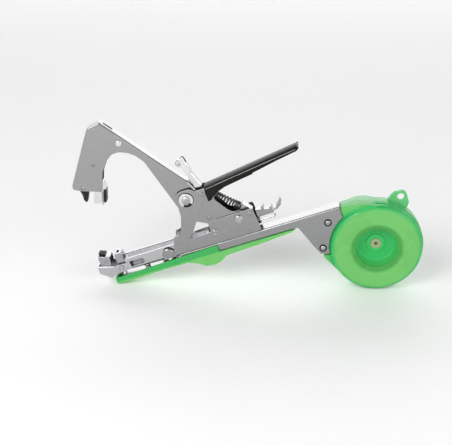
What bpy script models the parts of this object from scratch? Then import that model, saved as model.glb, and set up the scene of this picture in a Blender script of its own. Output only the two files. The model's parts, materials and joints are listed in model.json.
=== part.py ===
"""Hand-held plant tying tool: squeeze the handle and the hooked arm closes on the stapling nose.

Everything is drawn in the tool's own axes and in millimetres: u runs along the long channel
towards the tape reel, v runs square to it, up towards the handle, and y runs across the tool.
The empty "tool_axes" tilts those axes so that the tool stands on its reel case and on the
front of its lower cover, with z = 0 as the table.
"""
import math

import bmesh
import bpy
from mathutils import Matrix, Vector

MM = 0.001
GAP = 0.3

# ---------------------------------------------------------------- driving dimensions (mm)
SHEET = 1.2                      # steel sheet of the arm, handle, channel and side plates
CLINCHER_PIVOT = (0.0, 52.0)     # the hooked arm turns here
HANDLE_PIVOT = (40.8, 17.7)      # the squeezed handle turns here
MAGAZINE_PIVOT = (-35.7, 4.6)    # the magazine rocks here
LOCK_PIVOT = (15.4, 53.0)
LOCK_ROLLER = (5.0, 86.0)
CATCH_PIVOT = (-89.0, 93.0)
CATCH_SPRING_PIN = (-70.5, 111.0)
ARM_RIVET = (-40.3, 123.2)
FRAME_STUD = (14.8, 12.4)
SPRING_ANCHOR = (52.4, 20.4)
SPRING_TOP = (25.6, 46.4)        # ends of the return spring
SPRING_FOOT = (45.2, 27.0)
NOSE_SCREW = (-84.6, 4.4)
BRACKET_SCREWS = ((119.1, -12.2), (107.0, -36.0))
LINK_PIN_RADIUS = 2.2
ARM_TRAVEL = 35.5                # degrees that the arm closes
HANDLE_TRAVEL = 34.0             # degrees that the handle turns meanwhile
ARM_HALF = 5.8                   # half widths, outside, of the nested folded pieces
HANDLE_HALF = 7.4
CHANNEL_HALF = 7.5
PLATE_IN, PLATE_OUT = 7.8, 9.0   # side plates of the frame
COVER_IN, COVER_OUT = 7.8, 9.4   # green lower cover
CHANNEL_DEPTH = 8.0
CHANNEL_END = 134.2
STEP_DOWN = 5.0                  # the channel's top drops this much under the magazine
REEL_CENTRE = (155.5, -50.5)
REEL_RADIUS = 44.3
REEL_HALF = 12.5                 # half the thickness of the reel case
CASE_WALL = 1.6
CASE_STEPS = 36
SEAM = 0.15                      # half the gap between the two case halves
CUP_REACH = 3.2                  # the hub cup reaches this far past the middle plane
LUG_SPOT = (190.8, -13.0)        # the hang lug's hole
LUG_NEAR, LUG_FAR = 4.4, 7.6     # the lug's faces, from the middle plane
HUB_RADIUS = 21.5
TAPE_WIDTH = 11.0
TAPE_RADIUS = 37.0
COVER_FRONT = (-94.5, -10.6)     # lowest front corner of the lower cover
MAGAZINE_FRONT, MAGAZINE_REAR = -80.0, 8.0
ROD_HEIGHT = 7.4                 # the pusher rod's height above the channel
PUSHER_REAR = 57.5               # front of the finger grip, behind the side plates

SATIN = "satin_steel"
CHROME = "chrome"
ZINC = "zinc_hardware"
SPRING = "spring_steel"
BLACK = "black_steel"
VINYL = "black_vinyl"
GREEN = "green_plastic"
TAPE = "tape_film"
CARD = "core_card"

FINISHES = {                     # colour, metallic, roughness
    SATIN: ((0.56, 0.56, 0.58), 1.0, 0.34),
    CHROME: ((0.78, 0.78, 0.80), 1.0, 0.14),
    ZINC: ((0.62, 0.61, 0.58), 1.0, 0.30),
    SPRING: ((0.20, 0.20, 0.21), 1.0, 0.35),
    BLACK: ((0.02, 0.02, 0.02), 0.6, 0.40),
    VINYL: ((0.014, 0.014, 0.013), 0.0, 0.32),
    GREEN: ((0.10, 0.62, 0.16), 0.0, 0.22),
    TAPE: ((0.36, 0.78, 0.40), 0.0, 0.35),
    CARD: ((0.70, 0.62, 0.48), 0.0, 0.80),
}


# ---------------------------------------------------------------- scene helpers
def clear_scene():
    for thing in list(bpy.data.objects):
        bpy.data.objects.remove(thing)


def new_collection(name):
    collection = bpy.data.collections.new(name)
    bpy.context.scene.collection.children.link(collection)
    return collection


def material(name):
    found = bpy.data.materials.get(name)
    if found:
        return found
    colour, metallic, roughness = FINISHES[name]
    made = bpy.data.materials.new(name)
    made.use_nodes = True
    shader = made.node_tree.nodes["Principled BSDF"]
    shader.inputs["Base Color"].default_value = (*colour, 1.0)
    shader.inputs["Metallic"].default_value = metallic
    shader.inputs["Roughness"].default_value = roughness
    return made


def resting_tilt():
    """Angle that brings the reel case and the cover's front corner onto one level."""
    along = REEL_CENTRE[0] - COVER_FRONT[0]
    across = COVER_FRONT[1] - REEL_CENTRE[1]
    reach = math.hypot(along, across)
    return math.atan2(across, along) + math.asin(REEL_RADIUS / reach)


TILT = resting_tilt()


def tool_axes(collection):
    """Empty at the tool's origin, tilted to the resting attitude."""
    axes = bpy.data.objects.new("tool_axes", None)
    collection.objects.link(axes)
    axes.rotation_euler = (0.0, -TILT, 0.0)
    return axes


def place_on_table():
    """Shift the axes so that the tool's box stands centred on the origin."""
    bpy.context.view_layer.update()
    depsgraph = bpy.context.evaluated_depsgraph_get()
    corners = []
    for thing in PARTS.objects:
        if thing.type == 'MESH':
            mesh = thing.evaluated_get(depsgraph).data
            corners += [thing.matrix_world @ vertex.co for vertex in mesh.vertices]
    low = [min(corner[axis] for corner in corners) for axis in range(3)]
    high = [max(corner[axis] for corner in corners) for axis in range(3)]
    AXES.location = (-(low[0] + high[0]) / 2, -(low[1] + high[1]) / 2, -low[2])
    bpy.context.view_layer.update()


clear_scene()
PARTS = new_collection("plant_tying_tool")
CUTTERS = new_collection("cutters")
AXES = tool_axes(PARTS)


def link(name, mesh, finish, origin=(0.0, 0.0)):
    """Put a mesh drawn in tool millimetres into the scene, its origin on the given u, v."""
    shift = Matrix.Translation((-origin[0], 0.0, -origin[1]))
    mesh.transform(Matrix.Scale(MM, 4) @ shift)
    thing = bpy.data.objects.new(name, mesh)
    thing.location = (origin[0] * MM, 0.0, origin[1] * MM)
    thing.parent = AXES
    if finish is None:
        CUTTERS.objects.link(thing)
        thing.hide_render = True
        thing.display_type = 'WIRE'
    else:
        PARTS.objects.link(thing)
        mesh.materials.append(material(finish))
    return thing


def tidy(mesh, sharp=35.0):
    """Weld, turn the faces outwards and shade round stretches smooth."""
    bm = bmesh.new()
    bm.from_mesh(mesh)
    bmesh.ops.remove_doubles(bm, verts=bm.verts, dist=0.002)
    bmesh.ops.dissolve_degenerate(bm, edges=bm.edges, dist=0.0005)
    bmesh.ops.recalc_face_normals(bm, faces=bm.faces)
    bm.to_mesh(mesh)
    bm.free()
    mesh.shade_smooth()
    mesh.set_sharp_from_angle(angle=math.radians(sharp))
    return mesh


def evaluated_mesh(thing):
    """Mesh of a temporary object, after which the object is gone."""
    bpy.context.view_layer.update()
    depsgraph = bpy.context.evaluated_depsgraph_get()
    mesh = bpy.data.meshes.new_from_object(thing.evaluated_get(depsgraph))
    bpy.data.objects.remove(thing)
    return mesh


# ---------------------------------------------------------------- shape helpers
def arc(centre, radius, start, end, steps):
    """Points on an arc, angles in degrees."""
    points = []
    for step in range(steps + 1):
        angle = math.radians(start + (end - start) * step / steps)
        points.append((centre[0] + radius * math.cos(angle), centre[1] + radius * math.sin(angle)))
    return points


def rounded(outline, steps=3):
    """Outline whose corners (u, v, radius) become short arcs; (u, v) stays sharp."""
    points = []
    count = len(outline)
    for index, corner in enumerate(outline):
        here = Vector(corner[:2])
        radius = corner[2] if len(corner) > 2 else 0.0
        if radius <= 0.0:
            points.append((here.x, here.y))
            continue
        before = Vector(outline[index - 1][:2]) - here
        after = Vector(outline[(index + 1) % count][:2]) - here
        half = before.angle(after) / 2
        reach = min(radius / math.tan(half), before.length * 0.49, after.length * 0.49)
        start = here + before.normalized() * reach
        end = here + after.normalized() * reach
        for step in range(steps + 1):
            t = step / steps
            point = start * (1 - t) ** 2 + here * 2 * t * (1 - t) + end * t ** 2
            points.append((point.x, point.y))
    return points


def inset_path(path, distance):
    """Open path shifted to its right-hand side, with mitred corners."""
    shifted = []
    for index, point in enumerate(path):
        here = Vector(point)
        ahead = Vector(path[min(index + 1, len(path) - 1)]) - Vector(path[max(index, 1) - 1])
        if 0 < index < len(path) - 1:
            first = (here - Vector(path[index - 1])).normalized()
            second = (Vector(path[index + 1]) - here).normalized()
            normal_a = Vector((first.y, -first.x))
            normal_b = Vector((second.y, -second.x))
            middle = (normal_a + normal_b).normalized()
            offset = middle * (distance / max(0.3, middle.dot(normal_a)))
        else:
            direction = ahead.normalized()
            offset = Vector((direction.y, -direction.x)) * distance
        moved = here + offset
        shifted.append((moved.x, moved.y))
    return shifted


def circle(centre, radius, steps=16):
    return arc(centre, radius, 0.0, 360.0 * (steps - 1) / steps, steps - 1)


def extruded(name, outline, low, high, finish, origin=(0.0, 0.0), holes=()):
    """Flat outline in u, v, filled, from y = low to y = high."""
    curve = bpy.data.curves.new(name, 'CURVE')
    curve.dimensions = '2D'
    curve.fill_mode = 'BOTH'
    curve.extrude = (high - low) / 2
    for loop in [outline, *holes]:
        spline = curve.splines.new('POLY')
        spline.points.add(len(loop) - 1)
        for point, place in zip(spline.points, loop):
            point.co = (place[0], place[1], 0.0, 1.0)
        spline.use_cyclic_u = True
    thing = bpy.data.objects.new(name, curve)
    PARTS.objects.link(thing)
    mesh = evaluated_mesh(thing)
    upright = Matrix.Translation((0.0, (low + high) / 2, 0.0)) @ Matrix.Rotation(math.pi / 2, 4, 'X')
    mesh.transform(upright)
    bpy.data.curves.remove(curve)
    return link(name, tidy(mesh), finish, origin)


def turned(name, centre, profile, finish, steps=18, origin=None):
    """Profile of (radius, y) spun about the cross axis through centre."""
    mesh = bpy.data.meshes.new(name)
    mesh.from_pydata([(radius, y, 0.0) for radius, y in profile],
                     [(index, index + 1) for index in range(len(profile) - 1)], [])
    thing = bpy.data.objects.new(name, mesh)
    PARTS.objects.link(thing)
    screw = thing.modifiers.new("turn", 'SCREW')
    screw.axis = 'Y'
    screw.steps = steps
    screw.render_steps = steps
    screw.use_merge_vertices = True
    screw.merge_threshold = 0.0001
    solid = evaluated_mesh(thing)
    solid.transform(Matrix.Translation((centre[0], 0.0, centre[1])))
    return link(name, tidy(solid), finish, centre if origin is None else origin)


def ring_profile(inner, outer, low, high):
    """Closed rectangular section for a washer or a core."""
    return [(inner, low), (outer, low), (outer, high), (inner, high), (inner, low)]


def shaft(name, centre, radius, half, head, head_height, finish, steps=14, origin=None):
    """Straight pin with a low rounded head at each end, half long to under each head."""
    top = half + head_height
    rim = head * 0.62
    profile = [(0.0, -top), (rim, -top), (head, -half - head_height * 0.35), (head, -half),
               (radius, -half), (radius, half), (head, half), (head, half + head_height * 0.35),
               (rim, top), (0.0, top)]
    return turned(name, centre, profile, finish, steps, origin)


def stud(name, centre, side, radius, start, seat, head, head_height, finish, steps=14, origin=None):
    """Short rivet on one side of the tool: shank from start to seat, then its head outside."""
    profile = [(0.0, start), (radius, start), (radius, seat), (head, seat),
               (head, seat + head_height * 0.4), (head * 0.62, seat + head_height),
               (0.0, seat + head_height)]
    return turned(name, centre, [(r, y * side) for r, y in profile], finish, steps, origin)


def wire(name, points, radius, finish, origin=(0.0, 0.0), resolution=2):
    """Round wire through (u, y, v) points, with filled ends."""
    curve = bpy.data.curves.new(name, 'CURVE')
    curve.dimensions = '3D'
    curve.bevel_depth = radius
    curve.bevel_resolution = resolution
    curve.use_fill_caps = True
    spline = curve.splines.new('POLY')
    spline.points.add(len(points) - 1)
    for point, place in zip(spline.points, points):
        point.co = (*place, 1.0)
    thing = bpy.data.objects.new(name, curve)
    PARTS.objects.link(thing)
    mesh = evaluated_mesh(thing)
    bpy.data.curves.remove(curve)
    return link(name, tidy(mesh, 50.0), finish, origin)


def coil(name, start, end, coil_radius, wire_radius, turns, finish, origin=(0.0, 0.0), per_turn=10):
    """Compression spring between two u, v points in the middle plane, with closed end turns."""
    axis = Vector((end[0] - start[0], 0.0, end[1] - start[1]))
    length = axis.length
    axis.normalize()
    side = Vector((0.0, 1.0, 0.0))
    other = axis.cross(side)
    points = []
    for step in range(int(turns * per_turn) + 1):
        share = step / (turns * per_turn)
        travel = share - math.sin(2 * math.pi * share) / (2 * math.pi) * 0.35
        turn = 2 * math.pi * step / per_turn
        place = Vector((start[0], 0.0, start[1])) + axis * (wire_radius + travel * (length - 2 * wire_radius))
        place += (side * math.cos(turn) + other * math.sin(turn)) * coil_radius
        points.append(tuple(place))
    return wire(name, points, wire_radius, finish, origin)


def boolean(target, cutter, operation='DIFFERENCE', solver='EXACT'):
    change = target.modifiers.new(operation.lower(), 'BOOLEAN')
    change.operation = operation
    change.solver = solver
    change.object = cutter
    return target


def folded(name, outline, web, overshoot, half, finish, origin=(0.0, 0.0), holes=()):
    """Sheet folded to a U: two cheeks of one outline joined by a web along part of its edge.

    web is that part of the edge, running so that the sheet's inside lies on its right, and
    overshoot closes the cutter's outline beyond the open edges.
    """
    body = extruded(name, outline, -half, half, finish, origin, holes)
    hollow = inset_path(web, SHEET) + list(overshoot)
    cutter = extruded(name + "_inside", hollow, -half + SHEET, half - SHEET, None, origin)
    return boolean(body, cutter)


# ---------------------------------------------------------------- frame
def main_channel():
    """Long folded channel: low under the magazine, with a wide bracket at the reel."""
    ramp = -26.0
    top = [(-88.0, -STEP_DOWN), (ramp - 4.0, -STEP_DOWN), (ramp, 0.0), (CHANNEL_END, 0.0)]
    round_end = arc(REEL_CENTRE, REEL_RADIUS + 0.9, 118.5, 165.0, 10)
    bracket = [(111.6, -43.9, 1.0), (103.3, -41.2, 3.0), (98.9, -30.4, 6.0), (90.7, -CHANNEL_DEPTH, 3.0)]
    outline = rounded(top + [(CHANNEL_END, -9.4)] + round_end + bracket + [(-88.0, -CHANNEL_DEPTH)])
    open_side = [(150.0, -1.2), (150.0, -60.0), (-95.0, -60.0), (-95.0, -STEP_DOWN - SHEET)]
    holes = [circle(place, 1.9, 12) for place in BRACKET_SCREWS]
    return folded("main_channel", outline, top, open_side, CHANNEL_HALF, SATIN, holes=holes)


def side_plates():
    """Pair of stamped plates: neck with the arm's pivot, foot, and rear body."""
    neck_left = [(-9.6, 46.0, 6.0), (-10.4, 37.8, 8.0), (-14.7, 26.1, 6.0), (-18.5, 20.2, 2.5)]
    foot = [(-24.1, 19.6, 1.5), (-32.7, -0.9, 1.0), (-27.2, 0.8, 2.0)]
    rear = [(57.8, 0.8, 1.2), (56.3, 24.8, 1.6), (11.4, 24.4, 1.4), (11.2, 13.8, 1.0)]
    inner = [(-13.2, 12.2, 1.0), (-5.4, 18.4, 5.0), (0.6, 26.4, 3.0), (19.0, 50.0, 5.0), (20.2, 57.6, 0.8)]
    shoulder = [(10.6, 57.6, 2.0), (7.0, 61.4, 4.0), (-9.4, 61.4, 8.5)]
    outline = rounded(neck_left + foot + rear + inner + shoulder)
    holes = [circle(CLINCHER_PIVOT, 3.6), circle(HANDLE_PIVOT, 3.2), circle(LOCK_PIVOT, 1.9, 12),
             circle(FRAME_STUD, 2.0, 12), circle(SPRING_ANCHOR, 1.9, 12)]
    for side, name in ((-1, "side_plate_near"), (1, "side_plate_far")):
        low, high = sorted((side * PLATE_IN, side * PLATE_OUT))
        extruded(name, outline, low, high, SATIN, holes=holes)


def frame_bridge():
    """Folded bridge under the side plates: its web lies on the channel, its cheeks are riveted."""
    outline = rounded([(9.6, 0.3), (54.0, 0.3), (52.0, 4.6, 1.0), (20.6, 4.6, 2.0), (19.4, 15.5, 2.0),
                       (10.4, 15.5, 2.0)])
    floor = [(54.0, 0.3), (9.6, 0.3)]
    open_side = [(0.0, 1.5), (0.0, 20.0), (60.0, 20.0), (60.0, 1.5)]
    holes = [circle(FRAME_STUD, 2.0, 12)]
    return folded("frame_bridge", outline, floor, open_side, CHANNEL_HALF, SATIN, holes=holes)


def frame_hardware():
    """Pins, clips and rivets that stay with the frame."""
    pivot = CLINCHER_PIVOT
    profile = [(0.0, -12.5), (3.0, -12.5), (3.9, -11.9), (3.9, -10.9), (3.3, -10.9), (3.3, 9.6),
               (5.6, 9.6), (5.6, 10.8), (4.2, 11.7), (0.0, 11.7)]
    turned("clincher_pivot_pin", pivot, profile, ZINC, 18)
    clip = [(6.9 * math.cos(a), 6.9 * math.sin(a)) for a in (math.radians(d) for d in range(-50, 231, 14))]
    inner = [(3.7 * math.cos(a), 3.7 * math.sin(a)) for a in (math.radians(d) for d in range(230, -51, -20))]
    outline = [(pivot[0] + u, pivot[1] + v) for u, v in clip + inner]
    extruded("clincher_pivot_clip", outline, -10.5, -9.3, CHROME)
    shaft("handle_pivot_pin", HANDLE_PIVOT, 2.8, 9.3, 4.3, 1.3, ZINC, 16)
    for side, word in ((-1, "near"), (1, "far")):
        stud("frame_rivet_" + word, FRAME_STUD, side, 1.6, 5.6, 9.3, 3.0, 0.9, ZINC)
        stud("magazine_pivot_" + word, MAGAZINE_PIVOT, side, 1.9, 3.9, 9.3, 5.8, 0.9, CHROME, 24)
        for place, level in zip(BRACKET_SCREWS, ("upper", "lower")):
            stud("bracket_screw_" + level + "_" + word, place, side, 1.5, 3.2, 7.8, 3.2, 1.1, ZINC)


def magazine_cradle():
    """Fork inside the magazine that carries its pivot, standing on the low part of the channel."""
    outline = rounded([(-44.0, -4.7), (-31.0, -4.7), (-31.0, -1.0, 1.0), (-31.6, 7.0, 3.0),
                       (-39.8, 7.0, 3.0), (-42.0, -1.0, 1.0), (-44.0, -1.0, 0.5)])
    floor = [(-31.0, -4.7), (-44.0, -4.7)]
    open_side = [(-50.0, -3.5), (-50.0, 15.0), (-25.0, 15.0), (-25.0, -3.5)]
    holes = [circle(MAGAZINE_PIVOT, 2.2, 16)]
    return folded("magazine_cradle", outline, floor, open_side, 5.9, ZINC, holes=holes)


def driver_blade():
    """Fixed blade that meets the staple when the magazine is pressed down over it."""
    outline = [(-84.8, -4.7), (-84.2, -4.7), (-84.2, 8.4), (-84.8, 8.4)]
    return extruded("driver_blade", outline, -2.6, 2.6, ZINC)


def lower_cover():
    """Green trough under the channel, open at the top, deeper below the neck."""
    top = [(89.2, -8.3), (12.2, -8.3), (11.6, -1.2)]
    front = [(COVER_FRONT[0], -4.3, 1.0), (COVER_FRONT[0] - 0.4, -8.0), (*COVER_FRONT, 1.6)]
    belly = [(-72.7, -10.5, 8.0), (-45.5, -9.9, 8.0), (-21.0, -10.1, 5.0), (-13.0, -13.2, 5.0),
             (-4.5, -19.0, 4.0), (3.4, -20.0, 4.0), (10.5, -18.6, 4.0), (17.5, -14.2, 4.0), (53.5, -12.6, 8.0),
             (84.0, -10.2, 3.0)]
    outline = rounded(top + front + belly, 4)
    body = extruded("lower_cover", outline, -COVER_OUT, COVER_OUT, GREEN)
    inside = [(95.0, -8.9), (95.0, 5.0), (COVER_FRONT[0] + 1.6, 5.0), (COVER_FRONT[0] + 1.6, -9.1),
              (-72.7, -9.0), (-45.5, -8.4), (-21.6, -8.6), (-13.9, -11.6), (-5.2, -17.3), (3.2, -18.3),
              (9.8, -17.1), (16.8, -12.6), (53.4, -11.0), (83.0, -8.9)]
    cutter = extruded("lower_cover_inside", inside, -COVER_IN, COVER_IN, None)
    return boolean(body, cutter)


# ---------------------------------------------------------------- reel case
def case_half(name, side, dish, cavity, extra, middle):
    """One half of the reel case: a turned dish joined to the throat that enters the bracket.

    Every piece runs past the middle plane and the cutter named middle trims them all at the seam.
    The exact solver leaves open edges on this many-sided shape, so the manifold one cuts it.
    """
    closed = 'MANIFOLD'
    top = -2.2
    throat = [(97.5, top), (97.5, -12.0), (101.2, -29.5), (105.2, -39.8), (112.0, -43.5),
              (124.0, -48.5), (136.0, -28.0), (146.0, top)]
    snout = [(134.8, -1.2), (134.8, -26.0), (144.0, -24.6), (161.5, -13.0), (168.5, -9.4),
             (159.0, -4.0), (151.0, -2.0)]
    flare = [(104.6, -44.8), (110.0, -56.0), (116.6, -69.5), (127.0, -65.0), (128.0, -46.6)]
    throat_in = [(90.0, -3.6), (90.0, -9.0), (97.5, -11.0), (102.6, -29.0), (106.4, -38.9),
                 (112.6, -42.2), (126.0, -47.5), (137.4, -29.0), (147.6, -3.4)]
    snout_in = [(136.4, -2.8), (136.4, -24.4), (145.0, -23.5), (162.0, -14.6), (162.6, -8.8),
                (157.6, -5.7), (150.6, -3.7)]
    flare_in = [(111.0, -54.0), (118.4, -66.4), (129.0, -62.0), (129.6, -46.0)]
    body = turned(name, REEL_CENTRE, [(r, y * side) for r, y in dish], GREEN, CASE_STEPS, (0.0, 0.0))
    for word, outline, half, past in (("throat", throat, 6.0, 2.4), ("snout", snout, 7.4, 2.8),
                                      ("flare", flare, 7.2, 3.1)):
        low, high = sorted((-side * past, side * half))
        boolean(body, extruded(name + "_" + word, outline, low, high, None), 'UNION', closed)
    for piece in extra:
        boolean(body, piece, 'UNION', closed)
    hollow = [(r, y * side) for r, y in cavity]
    void = turned(name + "_cavity", REEL_CENTRE, hollow, None, CASE_STEPS, (0.0, 0.0))
    boolean(body, void, solver=closed)
    for word, outline, half, past in (("throat", throat_in, 4.7, 5.2), ("snout", snout_in, 6.0, 5.6),
                                      ("flare", flare_in, 5.8, 4.8)):
        low, high = sorted((-side * past, side * half))
        boolean(body, extruded(name + "_" + word + "_in", outline, low, high, None), solver=closed)
    for place in BRACKET_SCREWS:
        low, high = sorted((side * 3.0, side * 7.0))
        bore = extruded(name + "_screw_%d" % place[0], circle(place, 1.9, 12), low, high, None)
        boolean(body, bore, solver=closed)
    boolean(body, middle, solver=closed)
    return body


def seam_cutter(name, side, holes):
    """Flat block that trims a case half to the seam, leaving the hub through its hole."""
    around = [(80.0, 20.0), (80.0, -110.0), (215.0, -110.0), (215.0, 20.0)]
    low, high = sorted((side * SEAM, -side * 9.0))
    return extruded(name, around, low, high, None, holes=holes)


def reel_case():
    """Two dishes that meet in the middle plane; the near one carries the hub cup."""
    wall = CASE_WALL
    radius = REEL_RADIUS
    face = REEL_HALF
    past = 2.0
    floor = CUP_REACH
    rim = [(radius, -past), (radius, face - 3.0), (radius - 0.9, face - 0.9), (radius - 3.0, face)]
    rim_in = [(radius - wall, -6.0), (radius - wall, face - 3.4), (radius - 3.6, face - wall)]
    cup = [(24.6, face), (23.9, face - 1.6), (22.1, face - 1.6), (21.4, face - 0.2), (20.2, face - 0.4),
           (19.0, 0.8 - floor), (8.2, 0.8 - floor), (7.4, 2.4 - floor), (4.2, 2.4 - floor), (4.2, -floor),
           (HUB_RADIUS + 0.8, -floor), (HUB_RADIUS + 0.8, -past)]
    near = rim + cup + rim[:1]
    near_in = rim_in + [(26.0, face - wall), (25.0, face - wall - 1.6), (HUB_RADIUS, face - wall - 1.6),
                        (HUB_RADIUS, -6.0)] + rim_in[:1]
    middle = seam_cutter("seam_near", -1, [circle(REEL_CENTRE, HUB_RADIUS + 0.4, CASE_STEPS)])
    case_half("reel_case_near", -1, near, near_in, [], middle)
    far = rim + [(26.0, face), (25.0, face - 0.8), (3.6, face - 0.8), (3.6, -past)] + rim[:1]
    far_in = [(0.0, -6.0)] + rim_in + [(26.6, face - wall), (25.0, face - wall - 0.8),
                                       (8.0, face - wall - 0.8), (8.0, floor + GAP), (0.0, floor + GAP)]
    u, v = LUG_SPOT
    lug = rounded([(u - 16.0, v - 1.4), (u - 5.0, v + 6.2, 4.0), (u + 6.2, v + 5.0, 5.5),
                   (u + 5.8, v - 8.0, 3.0), (u + 0.4, v - 15.4)], 5)
    tab = extruded("hang_lug", lug, LUG_NEAR, LUG_FAR, None)
    middle = seam_cutter("seam_far", 1, [])
    body = case_half("reel_case_far", 1, far, far_in, [tab], middle)
    hole = extruded("hang_lug_hole", circle(LUG_SPOT, 3.4, 16), LUG_NEAR - 1.0, LUG_FAR + 1.0, None)
    boolean(body, hole, solver='MANIFOLD')


def hub_eyelet():
    """Hollow rivet that joins the cup's floor to the far dish; one can see through it."""
    near, far = 0.5, REEL_HALF - 0.5
    profile = [(2.5, near - 0.5), (5.4, near - 0.5), (5.4, near), (3.3, near), (3.3, far), (5.4, far),
               (5.4, far + 0.4), (2.5, far + 0.4), (2.5, near - 0.5)]
    turned("hub_eyelet", REEL_CENTRE, profile, ZINC, 18)


def tape_reel():
    """Roll of tying tape on its card core, turning on the hub cup."""
    half = TAPE_WIDTH / 2
    turned("tape_core", REEL_CENTRE, ring_profile(HUB_RADIUS + 0.6, HUB_RADIUS + 2.2, -half, half), CARD, 32)
    turned("tape_roll", REEL_CENTRE, ring_profile(HUB_RADIUS + 2.5, TAPE_RADIUS, -half, half), TAPE, 36)


# ---------------------------------------------------------------- hooked arm
def about(pivot, radius, degrees):
    """Point at a radius and direction from a pivot."""
    angle = math.radians(degrees)
    return (pivot[0] + radius * math.cos(angle), pivot[1] + radius * math.sin(angle))


def link_pin_place():
    """Place of the link pin at rest.

    The pin swings evenly about the line between the two pivots, so that the arm turns almost
    in proportion to the handle.
    """
    span = Vector(CLINCHER_PIVOT) - Vector(HANDLE_PIVOT)
    towards = math.degrees(math.atan2(span.y, span.x))
    arm = math.tan(math.radians(ARM_TRAVEL / 2))
    swing = math.radians(HANDLE_TRAVEL / 2)
    radius = span.length * arm / (math.sin(swing) + arm * math.cos(swing))
    return about(HANDLE_PIVOT, radius, towards + HANDLE_TRAVEL / 2)


LINK_PIN = link_pin_place()


def clincher_arm():
    """Hooked arm: two cheeks and a web along the hook's back, with a slotted tail for the link pin."""
    tail = Vector(LINK_PIN) - Vector(CLINCHER_PIVOT)
    direction = math.degrees(math.atan2(tail.y, tail.x))
    tip = Vector(about(CLINCHER_PIVOT, tail.length + 5.8, direction))
    upper = Vector(about((0.0, 0.0), 4.6, direction + 90.0))
    lower = Vector(about((0.0, 0.0), 5.8, direction - 90.0))
    back = [(-100.2, 95.0, 4.5), (-70.4, 135.9, 3.0), (-62.3, 146.4, 2.5), (-50.2, 148.0, 1.5),
            (7.3, 67.4, 1.0)]
    pivot_end = [(11.6, 57.0, 4.0), (9.0, 43.6, 4.0), (*(tip + upper), 4.0), (*(tip + lower), 5.0),
                 (-3.5, 40.6, 5.0), (-9.8, 43.2, 4.0)]
    mouth = [(-24.3, 98.9, 10.0), (-29.6, 107.0, 6.0), (-35.6, 112.0, 5.0), (-43.0, 115.4, 8.0),
             (-50.4, 115.5, 8.0), (-58.3, 110.3, 6.0), (-65.8, 101.1, 6.0), (-73.2, 83.4, 1.2),
             (-92.7, 90.9, 2.0)]
    outline = rounded(back + pivot_end + mouth)
    web = [(-97.3, 99.0), (-70.4, 135.9), (-62.3, 146.4), (-50.2, 148.0), (7.3, 67.4)]
    open_side = [(26.6, 38.4), (40.0, 0.0), (-40.0, 0.0), (-40.0, 70.0), (-115.0, 70.0), (-115.0, 98.0)]
    slot = []
    for reach, start in ((tail.length + LINK_PIN_RADIUS - 1.6, -90.0), (24.8 - LINK_PIN_RADIUS + 1.6, 90.0)):
        centre = about(CLINCHER_PIVOT, reach, direction)
        slot += arc(centre, LINK_PIN_RADIUS + 0.5, direction + start, direction + start + 180.0, 6)
    holes = [circle(CLINCHER_PIVOT, 3.7), slot, circle(CATCH_PIVOT, 1.8, 12), circle(ARM_RIVET, 1.8, 12),
             circle(CATCH_SPRING_PIN, 1.6, 10)]
    body = folded("clincher_arm", outline, web, open_side, ARM_HALF, SATIN, CLINCHER_PIVOT, holes)
    window = extruded("web_hole", [(-48.0, 140.0), (-48.0, 150.0), (-42.0, 150.0), (-42.0, 128.0)],
                      -1.6, 1.6, None, CLINCHER_PIVOT)
    return boolean(body, window)


def clincher_head():
    """Everything that the arm carries at the hook's end."""
    pivot = CLINCHER_PIVOT
    block = rounded([(-78.6, 97.0, 1.0), (-68.2, 93.0, 1.0), (-69.0, 84.6), (-74.8, 70.8, 1.2),
                     (-85.3, 74.3, 1.2), (-79.4, 88.6)], 3)
    body = extruded("clincher_block", block, -4.3, 4.3, CHROME, pivot)
    groove = [(-71.5, 83.0), (-73.5, 83.8), (-80.0, 68.0), (-78.0, 67.2)]
    boolean(body, extruded("blade_groove", groove, -5.0, 5.0, None, pivot))
    start = Vector((-72.7, 82.9))
    along = (Vector((-78.0, 70.0)) - start).normalized()
    across = Vector((-along.y, along.x)) * 0.35
    blade = [tuple(start + across), tuple(start - across),
             tuple(start + along * 13.6 - across), tuple(start + along * 13.6 + across)]
    extruded("tape_cutter_blade", blade, -4.1, 4.1, ZINC, pivot)
    shaft("arm_rivet", ARM_RIVET, 1.5, 6.1, 2.8, 0.7, ZINC, 14, pivot)
    turned("catch_pin", CATCH_PIVOT, [(0.0, -5.7), (1.5, -5.7), (1.5, 5.7), (0.0, 5.7)], ZINC, 14, pivot)
    profile = [(0.0, -5.7), (1.3, -5.7), (1.3, 5.7), (0.0, 5.7)]
    turned("catch_spring_pin", CATCH_SPRING_PIN, profile, ZINC, 12, pivot)
    coil("catch_spring", (-85.6, 98.6), (-73.0, 109.2), 1.5, 0.3, 5, SPRING, pivot, 6)


def tape_catch():
    """Black hook that picks up the tape in the nose's slot."""
    outline = rounded([(-94.2, 92.5, 2.0), (-93.4, 84.5, 1.0), (-94.0, 79.8, 0.8), (-92.4, 76.7, 1.2),
                       (-90.5, 78.4, 1.2), (-87.6, 83.6, 1.5), (-84.6, 89.5, 2.0), (-85.5, 96.0, 2.0),
                       (-91.6, 97.0, 2.0)], 3)
    extruded("tape_catch", outline, -2.2, 2.2, BLACK, CATCH_PIVOT, [circle(CATCH_PIVOT, 1.8, 14)])


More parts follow.
